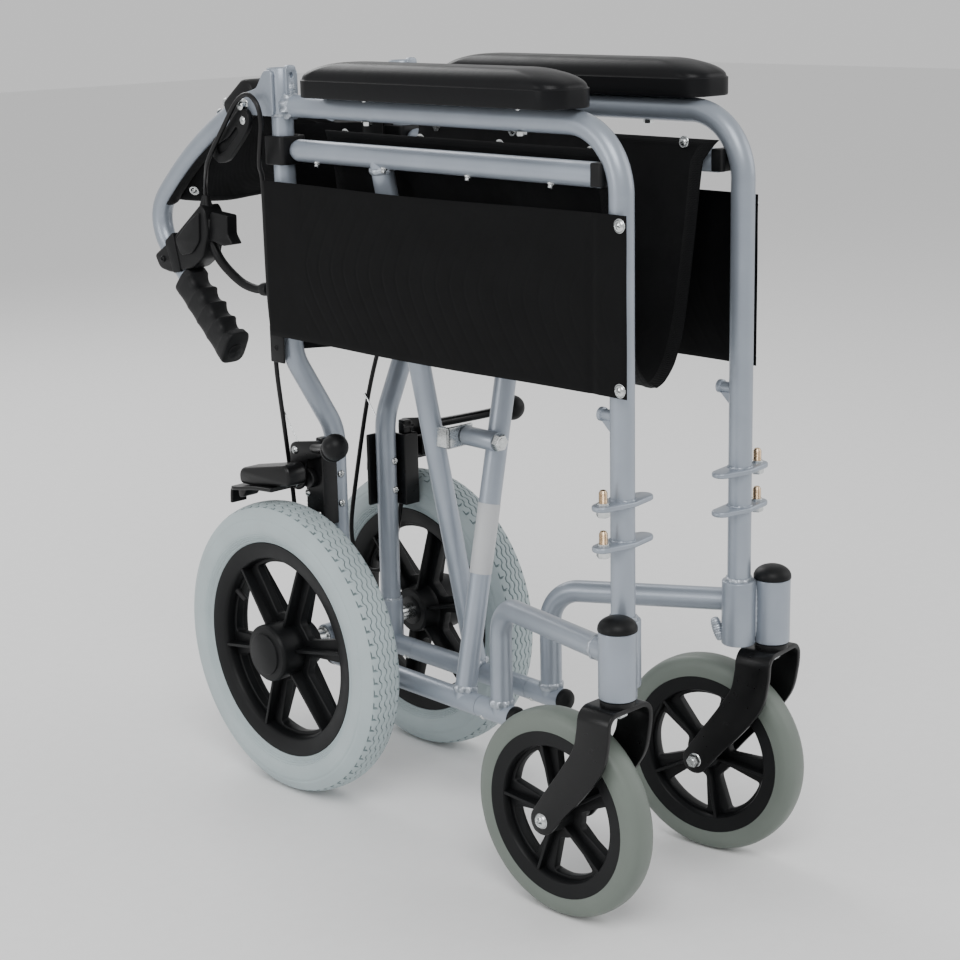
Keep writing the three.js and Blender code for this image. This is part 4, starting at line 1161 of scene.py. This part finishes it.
def sling_point(u, v):
    flap = 18 * max(0, 1 - u / 0.12) * (1 - v) ** 7
    y = SLING_START + SLING_LONG * v - flap
    pinch = min(1, max(0, (y + 190) / 110))
    pinch = pinch * pinch * (3 - 2 * pinch)
    x, z = mixed(at_share(WIDE, u), at_share(PINCHED, u), pinch)
    loose = sin(pi * u)
    fold = 2.6 * sin(6 * u + 0.034 * y) + 4.2 * rough(u * 3.1, y / 55, 7)
    crumple = 3.6 * rough(u * 9, y / 20, 11) * u * u
    slack = 3.0 * sin(14 * v) * u * u * (1 - v)
    return (max(0, x + (fold + crumple) * loose), y, z + (slack + 0.6 * fold) * loose * u)


def hem(point, edge, width, cells, thickness=HEM_THICK):
    """A strip on a cloth, beside one of the edges that run along u."""
    return cloth(lambda u, v: point(u, edge + width * (v - 0.5)), cells, 3, thickness, 1.5)


def bender(side, start, end):
    """Makes pieces of cloth, with their transforms baked into their meshes."""
    def bend(name, shape, material=WEBBING):
        made = build(f"{name}_{side}", shape, material, side)
        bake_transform(made)
        return made
    return bend


def seat_cloth(side):
    rail_body = "brace_a" if side == "left" else "brace_b"
    bend = bender(side, placed(side, 60, 0, 690), placed(side, 0, 0, 487))
    sheet = bend("seat_cloth", cloth(sling_point, 44, 84, CLOTH_THICK, 1), CLOTH)
    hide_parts(f"seat_sling_{side}")
    front = bend("seat_hem", hem(sling_point, 0.022, 0.04, 44, 3.6))
    rear = bend("seat_rear_hem", hem(sling_point, 0.978, 0.04, 44, 3.6))
    strip = cloth(lambda u, v: sling_point(0.03 + 0.058 * (u - 0.5), v), 3, 84, HEM_THICK, 1.5)
    top = bend("seat_top_hem", strip)
    min(surface(sling_point, 44, 84), 0.232 * 0.39)
    screws = []
    for y in (-206, -98, 10, 122):
        at = Vector(sling_point(0.03, (y - SLING_START) / SLING_LONG))
        screws.append(dome(at + Vector((-2.0, 0, 0)), (-1, 0, 0.1), 3.4, 2.6))
        screws.append(pin((5.6, 1, 0.4), at + Vector((-1.4, 0, 0)), (-1, 0, 0.1)))
    piece(f"seat_screws_{side}", merged(*screws), ZINC, rail_body, side=side)


def surface(point, wide, long):
    """A sheet's area in square metres."""
    at = [[Vector(point(i / wide, j / long)) for i in range(wide + 1)] for j in range(long + 1)]
    total = 0
    for j in range(long):
        for i in range(wide):
            a, b, c, d = at[j][i], at[j][i + 1], at[j + 1][i + 1], at[j + 1][i]
            total += ((b - a).cross(c - a).length + (c - a).cross(d - a).length) / 2
    return total * MM * MM


CLOTH_START, CLOTH_SPAN = 0.07, 0.85


def back_point(u, v):
    """u runs from the folded tube to the middle plane, v down the tube to its knee."""
    wrap = 0.12
    axis = Vector((POST_X, *on_back_tube(CLOTH_START + CLOTH_SPAN * v)))
    a = radians(-62 - 88 * min(1, u / wrap))
    start = axis + (X * cos(a) + BACK_UP * sin(a)) * (TUBE + CLOTH_LIFT)
    if u < wrap:
        return start
    t = (u - wrap) / (1 - wrap)
    end = Vector((0, 173 + 126 * v, 703 - 74 * v))
    sag = sin(pi * t)
    ripple = 2.4 * sin(5 * v + 4 * t) * sag + 3 * rough(t * 3, v * 3, 4) * sag
    place = start.lerp(end, t)
    return place + Vector((0, -4 * sag, -3 * sag + ripple - 3 * sag * v))


def lower_back_point(u, v):
    """u runs from the rear post to the middle plane, v downwards."""
    place = Vector((66, 213, 706)).lerp(Vector((0, 168, 706)), u)
    sag = sin(pi * u)
    ripple = 3.2 * sin(4.2 * v + 3 * u) * sag + 3 * rough(u * 2, v * 4, 9) * sag
    return place + Vector((0.5 * ripple, 7 * sag + ripple, -232 * v))


def back_cloth(side):
    bend = bender(side, placed(side, 68, 300, 660),
                  placed(side, 0, 300, 660))
    upper = bend("back_sheet", cloth(back_point, 40, 40, CLOTH_THICK, 1), CLOTH)
    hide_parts(f"back_cloth_{side}")
    end_hem = bend("back_hem", hem(back_point, 0.968, 0.06, 40))
    top_hem = bend("back_top_hem", hem(back_point, 0.03, 0.055, 40))
    min(surface(back_point, 40, 40), 0.145 * 0.2)
    bend = bender(side, placed(side, 66, 212, 600),
                  placed(side, 0, 166, 600))
    lower = bend("lower_back_sheet", cloth(lower_back_point, 30, 60, CLOTH_THICK, 1), CLOTH)
    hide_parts(f"lower_back_cloth_{side}")
    low_hem = bend("lower_back_hem", hem(lower_back_point, 0.965, 0.06, 30))
    min(surface(lower_back_point, 30, 60), 0.085 * 0.234)
    screws = []
    for u, v, radius in ((0.08, 0.1, 3.6), (0.2, 0.5, 2.6), (0.2, 0.9, 3.8)):
        at, over, under = (Vector(back_point(u + du, v + dv)) for du, dv in ((0, 0), (0.02, 0), (0, 0.02)))
        out = (over - at).cross(under - at).normalized()
        out *= copysign(1, out.x)
        screws.append(dome(at + out * 1.4, out, radius, radius * 0.7))
        screws.append(pin((radius * 1.5, 1, 0.4), at + out, out))
    piece(f"back_screws_{side}", merged(*screws), ZINC, f"back_{side}", side=side)


# ---- stage ----


# Name, place, size and power.
LAMPS = [("key", (-1.5, -1.7, 2.6), 1.6, 50), ("fill", (2.2, -1.8, 1.6), 2.0, 22),
         ("back", (0.6, 2.4, 2.2), 1.6, 30), ("left", (-2.8, 0.6, 1.2), 1.2, 18)]


def stage():
    low, high = CAD_BOX
    floor_mesh = bpy.data.meshes.new("floor")
    floor_reach = 12
    floor_mesh.from_pydata([(floor_reach * x, floor_reach * y, low.z)
                            for x, y in ((-1, -1), (1, -1), (1, 1), (-1, 1))], [], [(0, 1, 2, 3)])
    floor = link(bpy.data.objects.new("floor", floor_mesh))
    floor_mesh.materials.append(shade("pale_floor", (0.86, 0.86, 0.86), 0.7, mottle=0.01))
    world = bpy.data.worlds.new("studio")
    bpy.context.scene.world = world
    world.use_nodes = True
    sky = world.node_tree.nodes["Background"]
    sky.inputs["Color"].default_value = (1, 1, 1, 1)
    sky.inputs["Strength"].default_value = SKY_STRENGTH
    middle_point = (low + high) / 2
    for name, place, size, power in LAMPS:
        data = bpy.data.lights.new(name, "AREA")
        data.energy = power
        data.size = size
        lamp = link(bpy.data.objects.new(name, data))
        lamp.location = place
        lamp.rotation_mode = "QUATERNION"
        lamp.rotation_quaternion = (middle_point - Vector(place)).to_track_quat("-Z", "Y")


# ---- assembly ----

for side in MIRROR:
    brake_cable(side)
for side in MIRROR:
    for make_pieces in (front_frame, lower_frame, rear_frame, arm_pad, skirt, castor, rear_wheel, wheel_brake,
                        back_frame, release, guides, seat_cloth, back_cloth):
        make_pieces(side)
cross_brace()
stage()
